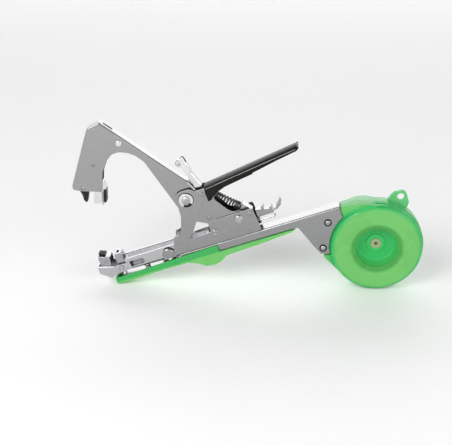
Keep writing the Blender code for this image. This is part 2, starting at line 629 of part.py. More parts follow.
# ---------------------------------------------------------------- handle
def handle_frame():
    """Folded handle: cheeks reach from the pivot up to the grip, web along the top."""
    pivot = HANDLE_PIVOT
    top = [(20.4, 57.0), (66.0, 62.7), (110.6, 68.0)]
    under = [(112.0, 66.6, 0.8), (92.9, 63.4, 8.0), (67.6, 58.4, 4.0), (39.0, 54.0, 8.0), (30.0, 51.0, 4.0),
             (24.6, 45.0, 3.0), (33.1, 30.2, 2.0), (36.5, 27.0, 3.0), (47.0, 25.4, 6.0), (48.4, 11.0, 6.0),
             (34.0, 10.6, 6.0), (11.2, 22.4, 3.0)]
    back = arc(pivot, 40.6, 166.0, 130.0, 6) + [(19.8, 53.4)]
    outline = rounded(top + under + back)
    open_side = [(120.0, 67.9), (120.0, 0.0), (-10.0, 0.0), (-10.0, 55.7)]
    holes = [circle(pivot, 3.2), circle(LINK_PIN, LINK_PIN_RADIUS + 0.3, 16)]
    return folded("handle_frame", outline, top, open_side, HANDLE_HALF, SATIN, pivot, holes)


def handle_grip():
    """Black vinyl cap over the handle, open underneath."""
    top = [(20.2, 58.6, 1.5), (66.0, 64.2, 10.0), (113.4, 69.8, 2.5), (116.4, 67.6, 2.0)]
    under = [(112.6, 65.4, 3.0), (92.9, 62.4, 8.0), (68.6, 57.6, 1.5), (67.2, 56.6, 1.0), (56.8, 55.6, 6.0),
             (39.0, 53.0, 8.0), (30.4, 50.1, 4.0), (24.4, 46.2, 3.0), (22.6, 44.2, 1.5), (19.2, 44.0, 1.0)]
    outline = rounded(top + under, 2)
    body = extruded("handle_grip", outline, -8.9, 8.9, VINYL, HANDLE_PIVOT)
    hollow = [(10.0, 56.3), (20.8, 57.3), (66.0, 63.0), (110.9, 68.3), (113.0, 66.6), (113.6, 50.0),
              (10.0, 30.0)]
    boolean(body, extruded("handle_grip_inside", hollow, -7.7, 7.7, None, HANDLE_PIVOT))
    bevel = body.modifiers.new("soft_edges", 'BEVEL')
    bevel.width = 1.1 * MM
    bevel.segments = 1
    bevel.limit_method = 'ANGLE'
    bevel.angle_limit = math.radians(50)
    return body


def handle_hardware():
    half = 7.3
    profile = [(0.0, -half), (LINK_PIN_RADIUS, -half), (LINK_PIN_RADIUS, half), (0.0, half)]
    turned("link_pin", LINK_PIN, profile, ZINC, 18, HANDLE_PIVOT)
    axis = (Vector(SPRING_FOOT) - Vector(SPRING_TOP)).normalized()
    across = Vector((-axis.y, axis.x)) * 4.4
    start = Vector(SPRING_TOP) - axis * 0.3
    seat = [tuple(start + across), tuple(start - across),
            tuple(start - across - axis * 1.4), tuple(start + across - axis * 1.4)]
    extruded("handle_spring_seat", seat, -5.9, 5.9, ZINC, HANDLE_PIVOT)


def return_spring():
    """Spring that opens the handle, its lower seat and the pin that the seat hangs on."""
    coil("return_spring", SPRING_TOP, SPRING_FOOT, 3.1, 0.65, 6.5, SPRING, per_turn=8)
    axis = (Vector(SPRING_FOOT) - Vector(SPRING_TOP)).normalized()
    across = Vector((-axis.y, axis.x)) * 4.4
    foot = Vector(SPRING_FOOT) + axis * 0.3
    outline = [tuple(foot - across), tuple(foot + across), tuple(foot + across + axis * 1.5),
               (55.4, 21.6), (54.6, 18.0), (51.6, 17.2), tuple(foot - across + axis * 1.5)]
    extruded("frame_spring_seat", outline, -4.6, 4.6, ZINC, holes=[circle(SPRING_ANCHOR, 1.8, 14)])
    shaft("spring_anchor_pin", SPRING_ANCHOR, 1.5, 9.3, 2.4, 0.7, ZINC, 16)


# ---------------------------------------------------------------- lock lever
def lock_lever():
    """Small folded lever that keeps the arm closed, with a roller at its head."""
    left = [(11.2, 55.0, 4.0), (10.6, 63.8, 3.0), (7.8, 75.0, 4.0), (6.0, 81.8, 1.0), (2.6, 84.0, 1.5),
            (3.0, 88.4, 1.5)]
    right = [(10.2, 91.4, 1.2), (12.4, 81.4, 4.0), (13.3, 74.0, 4.0), (15.6, 66.6, 4.0), (18.2, 60.2, 2.0),
             (18.4, 54.0, 3.0), (17.6, 49.4, 3.0), (12.6, 49.4, 3.0)]
    outline = rounded(left + right, 3)
    web = [(12.4, 81.4), (13.3, 74.0), (15.6, 66.6), (18.2, 60.8)]
    open_side = [(22.0, 50.0), (15.0, 40.0), (0.0, 40.0), (-5.0, 95.0), (13.0, 95.0)]
    holes = [circle(LOCK_PIVOT, 1.9, 14), circle(LOCK_ROLLER, 1.3, 12)]
    folded("lock_lever", outline, web, open_side, 3.6, CHROME, LOCK_PIVOT, holes)
    shaft("lock_roller_pin", LOCK_ROLLER, 1.0, 3.9, 1.7, 0.5, ZINC, 14, LOCK_PIVOT)
    turned("lock_roller", LOCK_ROLLER, ring_profile(1.3, 3.6, -2.0, 2.0), CHROME, 24, LOCK_PIVOT)
    shaft("lock_pin", LOCK_PIVOT, 1.5, 9.3, 2.5, 0.7, ZINC, 16)


# ---------------------------------------------------------------- magazine
def magazine_rail():
    """Folded rail that holds the staples, open on top, with a window over the staples."""
    pivot = MAGAZINE_PIVOT
    front, rear = MAGAZINE_FRONT, MAGAZINE_REAR
    outline = rounded([(rear, 0.6), (front, 0.6, 0.5), (front, 12.0, 0.8), (rear, 12.0, 3.0)])
    floor = [(rear, 0.6), (front, 0.6)]
    open_side = [(front - 5.0, 0.6 + SHEET), (front - 5.0, 20.0), (rear + 5.0, 20.0), (rear + 5.0, 0.6 + SHEET)]
    round_end = arc((-63.8, 5.4), 3.0, -80.0, 80.0, 6)
    window = [(-75.4, 2.4), (-63.6, 2.4)] + round_end + [(-63.6, 8.4), (-75.4, 8.4)]
    holes = [circle(pivot, 2.2, 16), window]
    body = folded("magazine_rail", outline, floor, open_side, CHANNEL_HALF, SATIN, pivot, holes)
    well = [(-46.5, -1.0), (-28.5, -1.0), (-28.5, 3.0), (-46.5, 3.0)]
    return boolean(body, extruded("cradle_well", well, -6.2, 6.2, None, pivot))


def magazine_parts():
    """Cover, staple guide, staples and rear plate, all riding on the rail."""
    pivot = MAGAZINE_PIVOT
    cover = [(-79.0, 10.4), (7.2, 10.4), (7.2, 11.6), (-79.0, 11.6)]
    extruded("magazine_cover", cover, -6.0, 6.0, CHROME, pivot)
    guide = [(-48.6, 2.1), (-79.4, 2.1), (-79.4, 4.4), (-48.6, 4.4)]
    folded("staple_guide", guide, [(-48.6, 2.1), (-79.4, 2.1)],
           [(-85.0, 3.3), (-85.0, 8.0), (-40.0, 8.0), (-40.0, 3.3)], 4.6, ZINC, pivot)
    staples = [(-60.6, 3.6), (-79.3, 3.6), (-79.3, 9.0), (-60.6, 9.0)]
    body = extruded("staple_strip", staples, -3.0, 3.0, SPRING, pivot)
    boolean(body, extruded("staple_strip_inside", [(-90.0, 4.2), (-50.0, 4.2), (-50.0, 12.0), (-90.0, 12.0)],
                           -2.4, 2.4, None, pivot))
    plate = extruded("rod_guide", [(5.6, 2.1), (6.8, 2.1), (6.8, 10.1), (5.6, 10.1)], -6.0, 6.0, ZINC, pivot)
    path = [(0.0, 0.0, ROD_HEIGHT), (12.0, 0.0, ROD_HEIGHT)]
    boolean(plate, wire("rod_guide_hole", path, 1.3, None, pivot, 3))
    coil("magazine_spring", (-62.0, -4.6), (-62.0, 0.3), 2.6, 0.4, 3, SPRING, per_turn=7)


def nose():
    """Front of the magazine: tape guide, nose block with its teeth, and the staple outlet."""
    pivot = MAGAZINE_PIVOT
    outline = rounded([(-90.8, -0.4, 1.0), (-96.0, -0.6, 0.8), (-97.2, -3.6, 0.8), (-107.5, 4.9, 1.0),
                       (-106.9, 13.1, 0.8), (-90.8, 8.4, 0.5), (-75.2, 8.0, 1.0), (-74.3, 1.6, 1.5)])
    front = [(-98.2, -2.775), (-107.5, 4.9), (-106.9, 13.1)]
    open_side = [(-106.0, 25.0), (-60.0, 25.0), (-60.0, -10.0), (-96.0, -10.0)]
    folded("nose_guide", outline, front, open_side, 9.0, SATIN, pivot, [circle(NOSE_SCREW, 1.7, 14)])
    block = rounded([(-104.4, 10.2, 0.8), (-103.3, 22.4, 1.2), (-92.2, 18.4, 1.0), (-93.4, 7.0, 0.8)])
    top = [(-104.4, 10.2), (-103.3, 22.4), (-92.2, 18.4)]
    below = [(-80.0, 14.0), (-80.0, 0.0), (-112.0, 0.0), (-112.0, 10.0)]
    folded("nose_block", block, top, below, 7.4, CHROME, pivot)
    count, first, pitch = 5, -102.4, 1.25
    slope = (18.4 - 22.4) / (103.3 - 92.2)
    teeth = [(first + count * pitch, 0.3), (first, 0.3)]
    for index in range(count):
        teeth += [(first + (index + 0.35) * pitch, 2.2), (first + (index + 1.0) * pitch, 0.9)]
    teeth = [(u, 22.4 + slope * (u + 103.3) + height) for u, height in teeth]
    extruded("tape_teeth", teeth, -4.4, 4.4, BLACK, pivot)
    outlet = rounded([(-88.4, 3.2, 0.5), (-87.2, 19.5, 1.0), (-81.2, 18.7, 1.0), (-80.4, 12.4), (-80.4, 3.2, 0.5)])
    body = extruded("staple_outlet", outlet, -6.0, 6.0, CHROME, pivot)
    boolean(body, extruded("blade_slot", [(-85.7, -5.0), (-83.3, -5.0), (-83.3, 25.0), (-85.7, 25.0)],
                           -3.1, 3.1, None, pivot))
    for side, word in ((-1, "near"), (1, "far")):
        stud("nose_screw_" + word, NOSE_SCREW, side, 1.4, 6.3, 9.3, 2.6, 1.0, ZINC, 16, pivot)


def pusher():
    """Follower behind the staples, on a rod that ends in a finger tab behind the frame."""
    origin = (-52.0, ROD_HEIGHT)
    follower = [(-60.2, 4.7), (-52.0, 4.7), (-52.0, 9.6), (-60.2, 9.6)]
    extruded("staple_follower", follower, -2.1, 2.1, ZINC, origin)
    turn = [(u, 0.0, v) for u, v in arc((71.6, ROD_HEIGHT + 2.1), 2.1, -90.0, 90.0, 6)]
    points = [(-51.7, 0.0, ROD_HEIGHT), (0.0, 0.0, ROD_HEIGHT)] + turn + [(59.0, 0.0, ROD_HEIGHT + 4.2)]
    wire("pusher_rod", points, 0.9, CHROME, origin, 2)
    tab = [(PUSHER_REAR, 12.9), (PUSHER_REAR, 20.4), (63.4, 19.0), (63.8, 22.4), (65.4, 22.2),
           (66.0, 18.4), (71.0, 17.2), (71.6, 19.6), (73.0, 19.3), (73.4, 16.4), (77.6, 17.4, 2.0),
           (81.0, 20.0, 2.0), (83.4, 25.4), (84.8, 24.9), (82.6, 18.4, 2.0), (78.4, 15.4, 2.0),
           (73.6, 14.4, 2.0), (73.0, 12.9)]
    extruded("pusher_grip", rounded(tab, 3), -4.8, 4.8, ZINC, origin)
    coil("pusher_spring", (-51.4, ROD_HEIGHT), (5.2, ROD_HEIGHT), 1.75, 0.3, 9, SPRING, MAGAZINE_PIVOT, 6)


# ---------------------------------------------------------------- build
def build_frame():
    main_channel()
    side_plates()
    frame_bridge()
    frame_hardware()
    magazine_cradle()
    driver_blade()
    lower_cover()
    reel_case()
    hub_eyelet()
    tape_reel()
    return_spring()


def build_moving():
    clincher_arm()
    clincher_head()
    tape_catch()
    handle_frame()
    handle_grip()
    handle_hardware()
    lock_lever()
    magazine_rail()
    magazine_parts()
    nose()
    pusher()


build_frame()
build_moving()
place_on_table()
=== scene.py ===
"""Plant tying tool: fine surfaces, materials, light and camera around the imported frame."""
import json
import math

import bmesh
import bpy
from mathutils import Matrix, Vector


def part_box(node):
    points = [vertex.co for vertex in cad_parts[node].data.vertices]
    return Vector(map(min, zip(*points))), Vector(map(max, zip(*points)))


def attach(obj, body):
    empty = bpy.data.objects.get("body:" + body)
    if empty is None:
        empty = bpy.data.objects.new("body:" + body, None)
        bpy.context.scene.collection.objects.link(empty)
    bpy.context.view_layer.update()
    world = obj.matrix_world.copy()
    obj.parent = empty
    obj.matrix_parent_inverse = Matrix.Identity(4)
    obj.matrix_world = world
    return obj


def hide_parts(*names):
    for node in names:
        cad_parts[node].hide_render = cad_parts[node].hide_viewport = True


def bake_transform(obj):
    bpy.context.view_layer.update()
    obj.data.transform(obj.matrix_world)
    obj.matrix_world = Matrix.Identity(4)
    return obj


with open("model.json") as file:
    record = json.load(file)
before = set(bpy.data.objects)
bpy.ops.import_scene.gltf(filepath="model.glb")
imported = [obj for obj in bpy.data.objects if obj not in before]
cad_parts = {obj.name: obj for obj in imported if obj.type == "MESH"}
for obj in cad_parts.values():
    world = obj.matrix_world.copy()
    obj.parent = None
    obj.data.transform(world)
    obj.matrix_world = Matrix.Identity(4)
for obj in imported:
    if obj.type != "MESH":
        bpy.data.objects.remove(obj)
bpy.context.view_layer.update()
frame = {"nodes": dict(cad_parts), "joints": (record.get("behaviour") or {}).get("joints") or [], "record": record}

MM = 0.001

# ---------------------------------------------------------------- the tool's own axes
JOINTS = {joint["name"]: joint for joint in frame["joints"]}
ARM_PIVOT = Vector(JOINTS["hook_close"]["pos_m"])
HANDLE_PIVOT = Vector(JOINTS["handle_squeeze"]["pos_m"])
MAGAZINE_PIVOT = Vector(JOINTS["magazine_press"]["pos_m"])
LOCK_PIVOT = Vector(JOINTS["lock_lever_turn"]["pos_m"])
REEL = Vector(JOINTS["tape_reel_spin"]["pos_m"])
ALONG = -Vector(JOINTS["pusher_feed"]["axis"]).normalized()      # u: along the channel, to the reel
UP = Vector((-ALONG.z, 0.0, ALONG.x))                            # v: square to the channel
ARM_PIVOT_HEIGHT = 52.0                                          # the arm's pivot above the channel, mm
TILT = math.atan2(ALONG.z, ALONG.x)


def tool(u, v, y=0.0):
    """World point of a place in the tool's axes, in millimetres."""
    return ARM_PIVOT + (ALONG * u + UP * (v - ARM_PIVOT_HEIGHT)) * MM + Vector((0.0, y * MM, 0.0))


def tool_uv(point):
    """The tool's u, v in millimetres of a world point."""
    offset = (Vector(point) - ARM_PIVOT) / MM
    return offset.dot(ALONG), offset.dot(UP) + ARM_PIVOT_HEIGHT


# tool axes as a matrix: meshes are drawn in (u, y, v) millimetres and then placed with it
TOOL = Matrix((
    (ALONG.x * MM, 0.0, UP.x * MM, tool(0.0, 0.0).x),
    (0.0, MM, 0.0, 0.0),
    (ALONG.z * MM, 0.0, UP.z * MM, tool(0.0, 0.0).z),
    (0.0, 0.0, 0.0, 1.0)))


# ---------------------------------------------------------------- camera
def add_camera():
    """Slightly to the reel's side of square on, looking down on the tool."""
    lean = Matrix.Rotation(math.radians(0.354), 3, 'Y')
    eye = ARM_PIVOT + lean @ Vector((0.08038, -0.82391, 0.34293))
    ahead = lean @ Vector((-0.0478, 0.9116, -0.4083)).normalized()
    right = ahead.cross(lean @ Vector((0.0, 0.0, 1.0))).normalized()
    over = right.cross(ahead)
    data = bpy.data.cameras.new("camera")
    data.sensor_width = 36.0
    data.lens = 75.3
    data.clip_start = 0.01
    camera = bpy.data.objects.new("camera", data)
    bpy.context.scene.collection.objects.link(camera)
    turn = Matrix((right, over, -ahead)).transposed().to_4x4()
    camera.matrix_world = Matrix.Translation(eye) @ turn
    bpy.context.scene.camera = camera
    bpy.context.scene.view_settings.view_transform = 'Standard'
    bpy.context.scene.view_settings.exposure = 0.1


# ---------------------------------------------------------------- material kit
class Shader:
    """Short way to write a Principled material with its node tree."""

    def __init__(self, name, colour, roughness, metallic=0.0):
        self.material = bpy.data.materials.new(name)
        self.material.use_nodes = True
        self.tree = self.material.node_tree
        self.principled = self.tree.nodes["Principled BSDF"]
        self.set("Base Color", (*colour, 1.0))
        self.set("Roughness", roughness)
        self.set("Metallic", metallic)
        self.place = self.tree.nodes.new("ShaderNodeTexCoord").outputs["Object"]

    def set(self, socket, value):
        self.principled.inputs[socket].default_value = value

    def node(self, kind, **inputs):
        made = self.tree.nodes.new(kind)
        for key, value in inputs.items():
            socket = made.inputs[key]
            if hasattr(value, "is_output"):
                self.tree.links.new(value, socket)
            else:
                socket.default_value = value
        return made

    def mapped(self, scale, turn=(0.0, 0.0, 0.0)):
        """Object coordinates, turned and then stretched by scale."""
        turned = self.node("ShaderNodeMapping", Vector=self.place, Rotation=turn)
        return self.node("ShaderNodeMapping", Vector=turned.outputs[0], Scale=scale).outputs[0]

    def noise(self, scale, detail, vector=None, rough=0.5):
        made = self.node("ShaderNodeTexNoise", Scale=scale, Detail=detail, Roughness=rough)
        self.tree.links.new(self.place if vector is None else vector, made.inputs["Vector"])
        return made.outputs["Fac"]

    def ramp(self, value, stops, low=0.0, high=1.0):
        """value mapped from low..high through colour or grey stops [(position, colour)]."""
        made = self.tree.nodes.new("ShaderNodeValToRGB")
        self.tree.links.new(self.spread(value, low, high, 0.0, 1.0), made.inputs[0])
        elements = made.color_ramp.elements
        while len(elements) < len(stops):
            elements.new(0.5)
        for element, (position, colour) in zip(elements, stops):
            element.position = position
            element.color = (*colour, 1.0) if len(colour) == 3 else colour
        return made.outputs[0]

    def spread(self, value, low, high, out_low, out_high):
        """value mapped from low..high to out_low..out_high, and held at the ends."""
        made = self.node("ShaderNodeMapRange", Value=value)
        ends = {"From Min": low, "From Max": high, "To Min": out_low, "To Max": out_high}
        for key, number in ends.items():
            made.inputs[key].default_value = number
        return made.outputs[0]

    def mix(self, factor, first, second):
        made = self.tree.nodes.new("ShaderNodeMix")
        made.data_type = 'RGBA'
        for socket, value in ((made.inputs[0], factor), (made.inputs[6], first), (made.inputs[7], second)):
            if hasattr(value, "is_output"):
                self.tree.links.new(value, socket)
            elif isinstance(value, tuple):
                socket.default_value = (*value, 1.0)
            else:
                socket.default_value = value
        return made.outputs[2]

    def calculate(self, how, first, second=0.0):
        made = self.tree.nodes.new("ShaderNodeMath")
        made.operation = how
        for socket, value in zip(made.inputs, (first, second)):
            if hasattr(value, "is_output"):
                self.tree.links.new(value, socket)
            else:
                socket.default_value = value
        return made.outputs[0]

    def link(self, value, socket):
        self.tree.links.new(value, self.principled.inputs[socket])

    def bump(self, *layers):
        """Layers of (height, strength, distance in metres), each on top of the one before."""
        normal = None
        for height, strength, distance in layers:
            made = self.node("ShaderNodeBump", Strength=strength, Distance=distance, Height=height)
            if normal is not None:
                self.tree.links.new(normal, made.inputs["Normal"])
            normal = made.outputs["Normal"]
        self.link(normal, "Normal")


def steel(name, colour, roughness, grain):
    """Plated sheet: fine grain along the tool, soft smudges, a few handling scratches."""
    smudge, streak = 0.06, 0.05
    shader = Shader(name, colour, roughness, 1.0)
    along = shader.mapped((30.0, 900.0, 900.0), (0.0, TILT, 0.0))
    brushed = shader.noise(1.0, 4.0, along, 0.6)
    cloud = shader.noise(46.0, 4.0, rough=0.6)
    scratch_place = shader.mapped((90.0, 2400.0, 700.0), (0.3, TILT + 0.7, 0.4))
    scratch = shader.noise(1.0, 1.0, scratch_place)
    tone = shader.ramp(cloud, [(0.0, tuple(c * (1 - smudge) for c in colour)), (1.0, colour)], 0.3, 0.7)
    shade = tuple(c * (1 - streak) for c in colour)
    fine = shader.ramp(brushed, [(0.0, shade), (1.0, colour)], 0.3, 0.7)
    shader.link(shader.mix(0.5, tone, fine), "Base Color")
    soft = shader.spread(cloud, 0.3, 0.7, roughness - 0.05, roughness + 0.07)
    worn = shader.spread(scratch, 0.66, 0.74, 0.0, 0.12)
    shader.link(shader.calculate('ADD', soft, worn), "Roughness")
    shader.bump((brushed, grain, 0.00004), (cloud, 0.05, 0.0003))
    return shader.material


def chrome(name, unevenness):
    """Bright plating over a slightly uneven ground."""
    colour = (0.74, 0.74, 0.76)
    shader = Shader(name, colour, 0.13, 1.0)
    wave = shader.noise(210.0, 2.0)
    cloud = shader.noise(70.0, 4.0, rough=0.65)
    shader.link(shader.ramp(cloud, [(0.0, (0.60, 0.60, 0.62)), (1.0, colour)], 0.25, 0.6), "Base Color")
    shader.link(shader.spread(cloud, 0.3, 0.7, 0.09, 0.22), "Roughness")
    shader.bump((wave, unevenness, 0.0004))
    return shader.material


def zinc():
    """Turned and pressed hardware with fine turning marks and dulled plating."""
    colour = (0.50, 0.50, 0.505)
    shader = Shader("plated_hardware", colour, 0.27, 1.0)
    grain = shader.noise(1400.0, 3.0)
    cloud = shader.noise(160.0, 4.0, rough=0.7)
    shader.link(shader.ramp(cloud, [(0.0, (0.32, 0.32, 0.325)), (1.0, colour)], 0.25, 0.6), "Base Color")
    shader.link(shader.spread(cloud, 0.3, 0.7, 0.20, 0.40), "Roughness")
    shader.bump((grain, 0.15, 0.00003))
    return shader.material


def spring_wire():
    """Dark oil-tempered wire with drawing lines."""
    shader = Shader("spring_wire", (0.10, 0.10, 0.11), 0.30, 1.0)
    cloud = shader.noise(420.0, 4.0, rough=0.7)
    shader.link(shader.ramp(cloud, [(0.0, (0.045, 0.045, 0.05)), (1.0, (0.17, 0.17, 0.18))], 0.3, 0.7),
                "Base Color")
    shader.link(shader.spread(cloud, 0.3, 0.7, 0.22, 0.42), "Roughness")
    shader.bump((shader.noise(2600.0, 2.0), 0.12, 0.00003))
    return shader.material


def black_steel():
    """Blackened sheet with a fine dull grain."""
    shader = Shader("blackened_steel", (0.018, 0.018, 0.02), 0.36, 0.7)
    cloud = shader.noise(300.0, 4.0, rough=0.7)
    shader.link(shader.ramp(cloud, [(0.0, (0.010, 0.010, 0.011)), (1.0, (0.035, 0.034, 0.036))], 0.3, 0.7),
                "Base Color")
    shader.link(shader.spread(cloud, 0.3, 0.7, 0.28, 0.5), "Roughness")
    shader.bump((shader.noise(1800.0, 2.0), 0.2, 0.00003))
    return shader.material


def vinyl():
    """Dipped vinyl: fine leathery pebble, a soft shine and a trace of dust."""
    shader = Shader("grip_vinyl", (0.009, 0.009, 0.008), 0.30)
    pebble = shader.node("ShaderNodeTexVoronoi", Scale=1500.0)
    shader.tree.links.new(shader.place, pebble.inputs["Vector"])
    cloud = shader.noise(55.0, 4.0, rough=0.6)
    shader.link(shader.ramp(cloud, [(0.0, (0.006, 0.006, 0.005)), (1.0, (0.013, 0.013, 0.011))], 0.3, 0.7),
                "Base Color")
    shader.link(shader.spread(cloud, 0.3, 0.7, 0.20, 0.30), "Roughness")
    shader.set("Specular IOR Level", 0.12)
    shader.bump((pebble.outputs["Distance"], 0.10, 0.00006), (cloud, 0.12, 0.0004))
    return shader.material


def painted_highlight_vinyl():
    """Moulding ridge of the sleeve, a guess, whose pale grey colour is a painted highlight."""
    # painted highlight: pale grey on black vinyl
    shader = Shader("painted_highlight_vinyl_ridge", (0.16, 0.16, 0.15), 0.14)
    highlight_tone = shader.noise(90.0, 3.0, rough=0.6)
    shader.link(shader.ramp(highlight_tone, [(0.0, (0.10, 0.10, 0.095)), (1.0, (0.24, 0.24, 0.225))], 0.3, 0.7),
                "Base Color")
    shader.set("Specular IOR Level", 1.0)
    shader.set("Coat Weight", 0.6)
    shader.set("Coat Roughness", 0.1)
    shader.bump((highlight_tone, 0.08, 0.0002))
    return shader.material


def eyelet_plastic():
    """Buff plastic of the hub eyelet."""
    shader = Shader("eyelet_plastic", (0.33, 0.39, 0.20), 0.3)
    cloud = shader.noise(60.0, 3.0, rough=0.6)
    shader.link(shader.ramp(cloud, [(0.0, (0.29, 0.35, 0.18)), (1.0, (0.38, 0.42, 0.23))], 0.3, 0.7),
                "Base Color")
    shader.bump((cloud, 0.08, 0.0002))
    return shader.material


GREEN_LIGHT = (0.148, 0.475, 0.128)
# painted shade: deeper green for the case's rim, where the wall is seen edge on
GREEN_RIM_SHADE = (0.022, 0.420, 0.105)
# painted shade of the tape's core, a dark ring seen through the face
GREEN_SHADE = (0.045, 0.290, 0.050)
# painted light: brighter green for the hub cup's floor, which the lamps reach little
GREEN_CUP_LIGHT = (0.045, 0.560, 0.150)
# painted light: paler copy of the case green for the far half
GREEN_LIT = (0.130, 0.480, 0.190)
# painted shade for the cover's upper band
GREEN_BAND_SHADE = (0.020, 0.345, 0.085)
CORE_SHADE_RADIUS = 0.0218                                             # radius of the painted shade ring of the tape's core, m


def green_plastic(name, colour):
    """Milky moulded plastic: light passes a little into it, with moulding flow and fine scuffs."""
    shader = Shader(name, colour, 0.24)
    flow = shader.noise(24.0, 3.0, rough=0.55)
    fine = shader.noise(900.0, 2.0)
    pale = tuple(min(1.0, c * 1.07) for c in colour)
    deep = tuple(c * 0.93 for c in colour)
    tone = shader.ramp(flow, [(0.0, deep), (1.0, pale)], 0.2, 0.8)
    shader.set("Subsurface Weight", 0.45)
    shader.set("Subsurface Radius", (0.25, 1.0, 0.25))
    shader.set("Subsurface Scale", 0.004)
    shader.set("Specular IOR Level", 0.3)
    shader.link(shader.spread(flow, 0.2, 0.8, 0.24, 0.32), "Roughness")
    shader.bump((flow, 0.05, 0.0008), (fine, 0.06, 0.00004))
    return shader, tone


def reel_plastic(name, colour, edges):
    """Case plastic with painted shade deepening its rim, where the wall is seen edge on, a painted shade ring
    where the tape's core stands behind the face, and painted light in the hub cup.
    """
    shader, tone = green_plastic(name, colour)
    centred = shader.node("ShaderNodeVectorMath", Vector=shader.place)
    centred.operation = 'SUBTRACT'
    centred.inputs[1].default_value = tuple(REEL)
    parts = shader.node("ShaderNodeSeparateXYZ", Vector=centred.outputs[0])
    squares = [shader.calculate('MULTIPLY', parts.outputs[axis], parts.outputs[axis]) for axis in (0, 2)]
    radius = shader.calculate('SQRT', shader.calculate('ADD', squares[0], squares[1]))
    # painted shade on the rim, its strength given by edges
    inner_rim_shade = shader.spread(radius, 0.0385, 0.0420, 0.0, edges)
    outer_rim_shade = shader.spread(radius, 0.0445, 0.0475, 1.0, 0.25)
    rim = shader.calculate('MULTIPLY', inner_rim_shade, outer_rim_shade)
    # painted light: the hub cup brightened inside its lip
    cup = shader.spread(radius, 0.0202, 0.0188, 0.0, 0.95)
    # painted shade: soft dark ring where the tape's core stands behind the face
    from_core_shade = shader.calculate('ABSOLUTE', shader.calculate('SUBTRACT', radius, CORE_SHADE_RADIUS))
    ring = shader.spread(from_core_shade, 0.0010, 0.0042, 0.9, 0.0)
    edge = shader.mix(rim, tone, GREEN_RIM_SHADE)
    banded = shader.mix(ring, edge, GREEN_SHADE)
    shader.link(shader.mix(cup, banded, GREEN_CUP_LIGHT), "Base Color")
    return shader.material


def cover_plastic():
    """Cover plastic with painted shade along its upper band, where the channel stands close behind the wall."""
    shader, tone = green_plastic("cover_plastic", GREEN_LIGHT)
    turned = shader.node("ShaderNodeMapping", Vector=shader.place, Rotation=(0.0, TILT, 0.0))
    height = shader.node("ShaderNodeSeparateXYZ", Vector=turned.outputs[0]).outputs[2]
    flat = Matrix.Rotation(TILT, 4, 'Y')
    level = (flat @ tool(0.0, -8.2)).z
    # painted shade: the upper band darkened
    band = shader.spread(height, level - 0.0006, level + 0.0004, 0.0, 0.8)
    shader.link(shader.mix(band, tone, GREEN_BAND_SHADE), "Base Color")
    return shader.material


def tape_film():
    """Side of the wound tape: many thin layers in rings round the reel."""
    shader = Shader("wound_tape", (0.30, 0.70, 0.34), 0.35)
    centred = shader.node("ShaderNodeVectorMath", Vector=shader.place)
    centred.operation = 'SUBTRACT'
    centred.inputs[1].default_value = tuple(REEL)
    squashed = shader.node("ShaderNodeMapping", Vector=centred.outputs[0], Scale=(1.0, 0.0, 1.0))
    rings = shader.tree.nodes.new("ShaderNodeTexWave")
    rings.wave_type = 'RINGS'
    rings.rings_direction = 'SPHERICAL'
    rings.inputs["Scale"].default_value = 900.0
    rings.inputs["Distortion"].default_value = 1.5
    shader.tree.links.new(squashed.outputs[0], rings.inputs["Vector"])
    shader.link(shader.ramp(rings.outputs["Fac"], [(0.0, (0.20, 0.52, 0.24)), (1.0, (0.40, 0.80, 0.44))]),
                "Base Color")
    shader.link(shader.spread(rings.outputs["Fac"], 0.0, 1.0, 0.28, 0.45), "Roughness")
    shader.bump((rings.outputs["Fac"], 0.4, 0.0001))
    return shader.material


def card():
    """Grey-brown board of the tape's core."""
    shader = Shader("core_card", (0.58, 0.47, 0.33), 0.85)
    fibre = shader.noise(1.0, 5.0, shader.mapped((2600.0, 500.0, 2600.0)), 0.7)
    shader.link(shader.ramp(fibre, [(0.0, (0.40, 0.31, 0.21)), (1.0, (0.68, 0.57, 0.42))], 0.3, 0.7),
                "Base Color")
    shader.link(shader.spread(fibre, 0.3, 0.7, 0.78, 0.95), "Roughness")
    shader.bump((fibre, 0.5, 0.00008))
    return shader.material


def make_finishes():
    """Every finish of the tool by name."""
    return {
        "satin_steel": steel("satin_plated_steel", (0.345, 0.345, 0.35), 0.20, 0.14),
        "dull_steel": steel("dull_plated_steel", (0.41, 0.395, 0.42), 0.24, 0.2),
        "bright_steel": steel("bright_plated_steel", (0.55, 0.545, 0.565), 0.16, 0.12),
        "chrome": chrome("bright_plating", 0.12),
        "rough_chrome": chrome("bright_plating_on_casting", 1.0),
        "zinc_hardware": zinc(),
        "spring_steel": spring_wire(),
        "black_steel": black_steel(),
        "black_vinyl": vinyl(),
        "painted_highlight_vinyl": painted_highlight_vinyl(),
        "eyelet": eyelet_plastic(),
        "reel": reel_plastic("reel_case_plastic", GREEN_LIGHT, 0.9),
        # far half: the case plastic in a paler, lit copy (painted light), with little rim shade
        "reel_far": reel_plastic("painted_light_reel_case_plastic", GREEN_LIT, 0.15),
        "cover": cover_plastic(),
        "tape_film": tape_film(),
        "core_card": card(),
    }


FINISH = make_finishes()
SLOT = {entry["node"]: entry["material_slot"] for entry in frame["record"]["subparts"]}
BODY = {node: body for body, nodes in frame["record"]["behaviour"]["bodies"].items() for node in nodes}


def add_piece(name, mesh, finish, body, nodes=()):
    """Put a mesh in world metres into the scene, riding a body and standing for CAD nodes."""
    piece = bpy.data.objects.new(name, mesh)
    bpy.context.scene.collection.objects.link(piece)
    mesh.materials.clear()
    mesh.materials.append(FINISH[finish])
    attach(piece, body)
    if nodes:
        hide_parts(*nodes)
    return piece


def shade(mesh, angle):
    """Smooth shading, sharp above the angle."""
    mesh.shade_smooth()
    mesh.set_sharp_from_angle(angle=math.radians(angle))


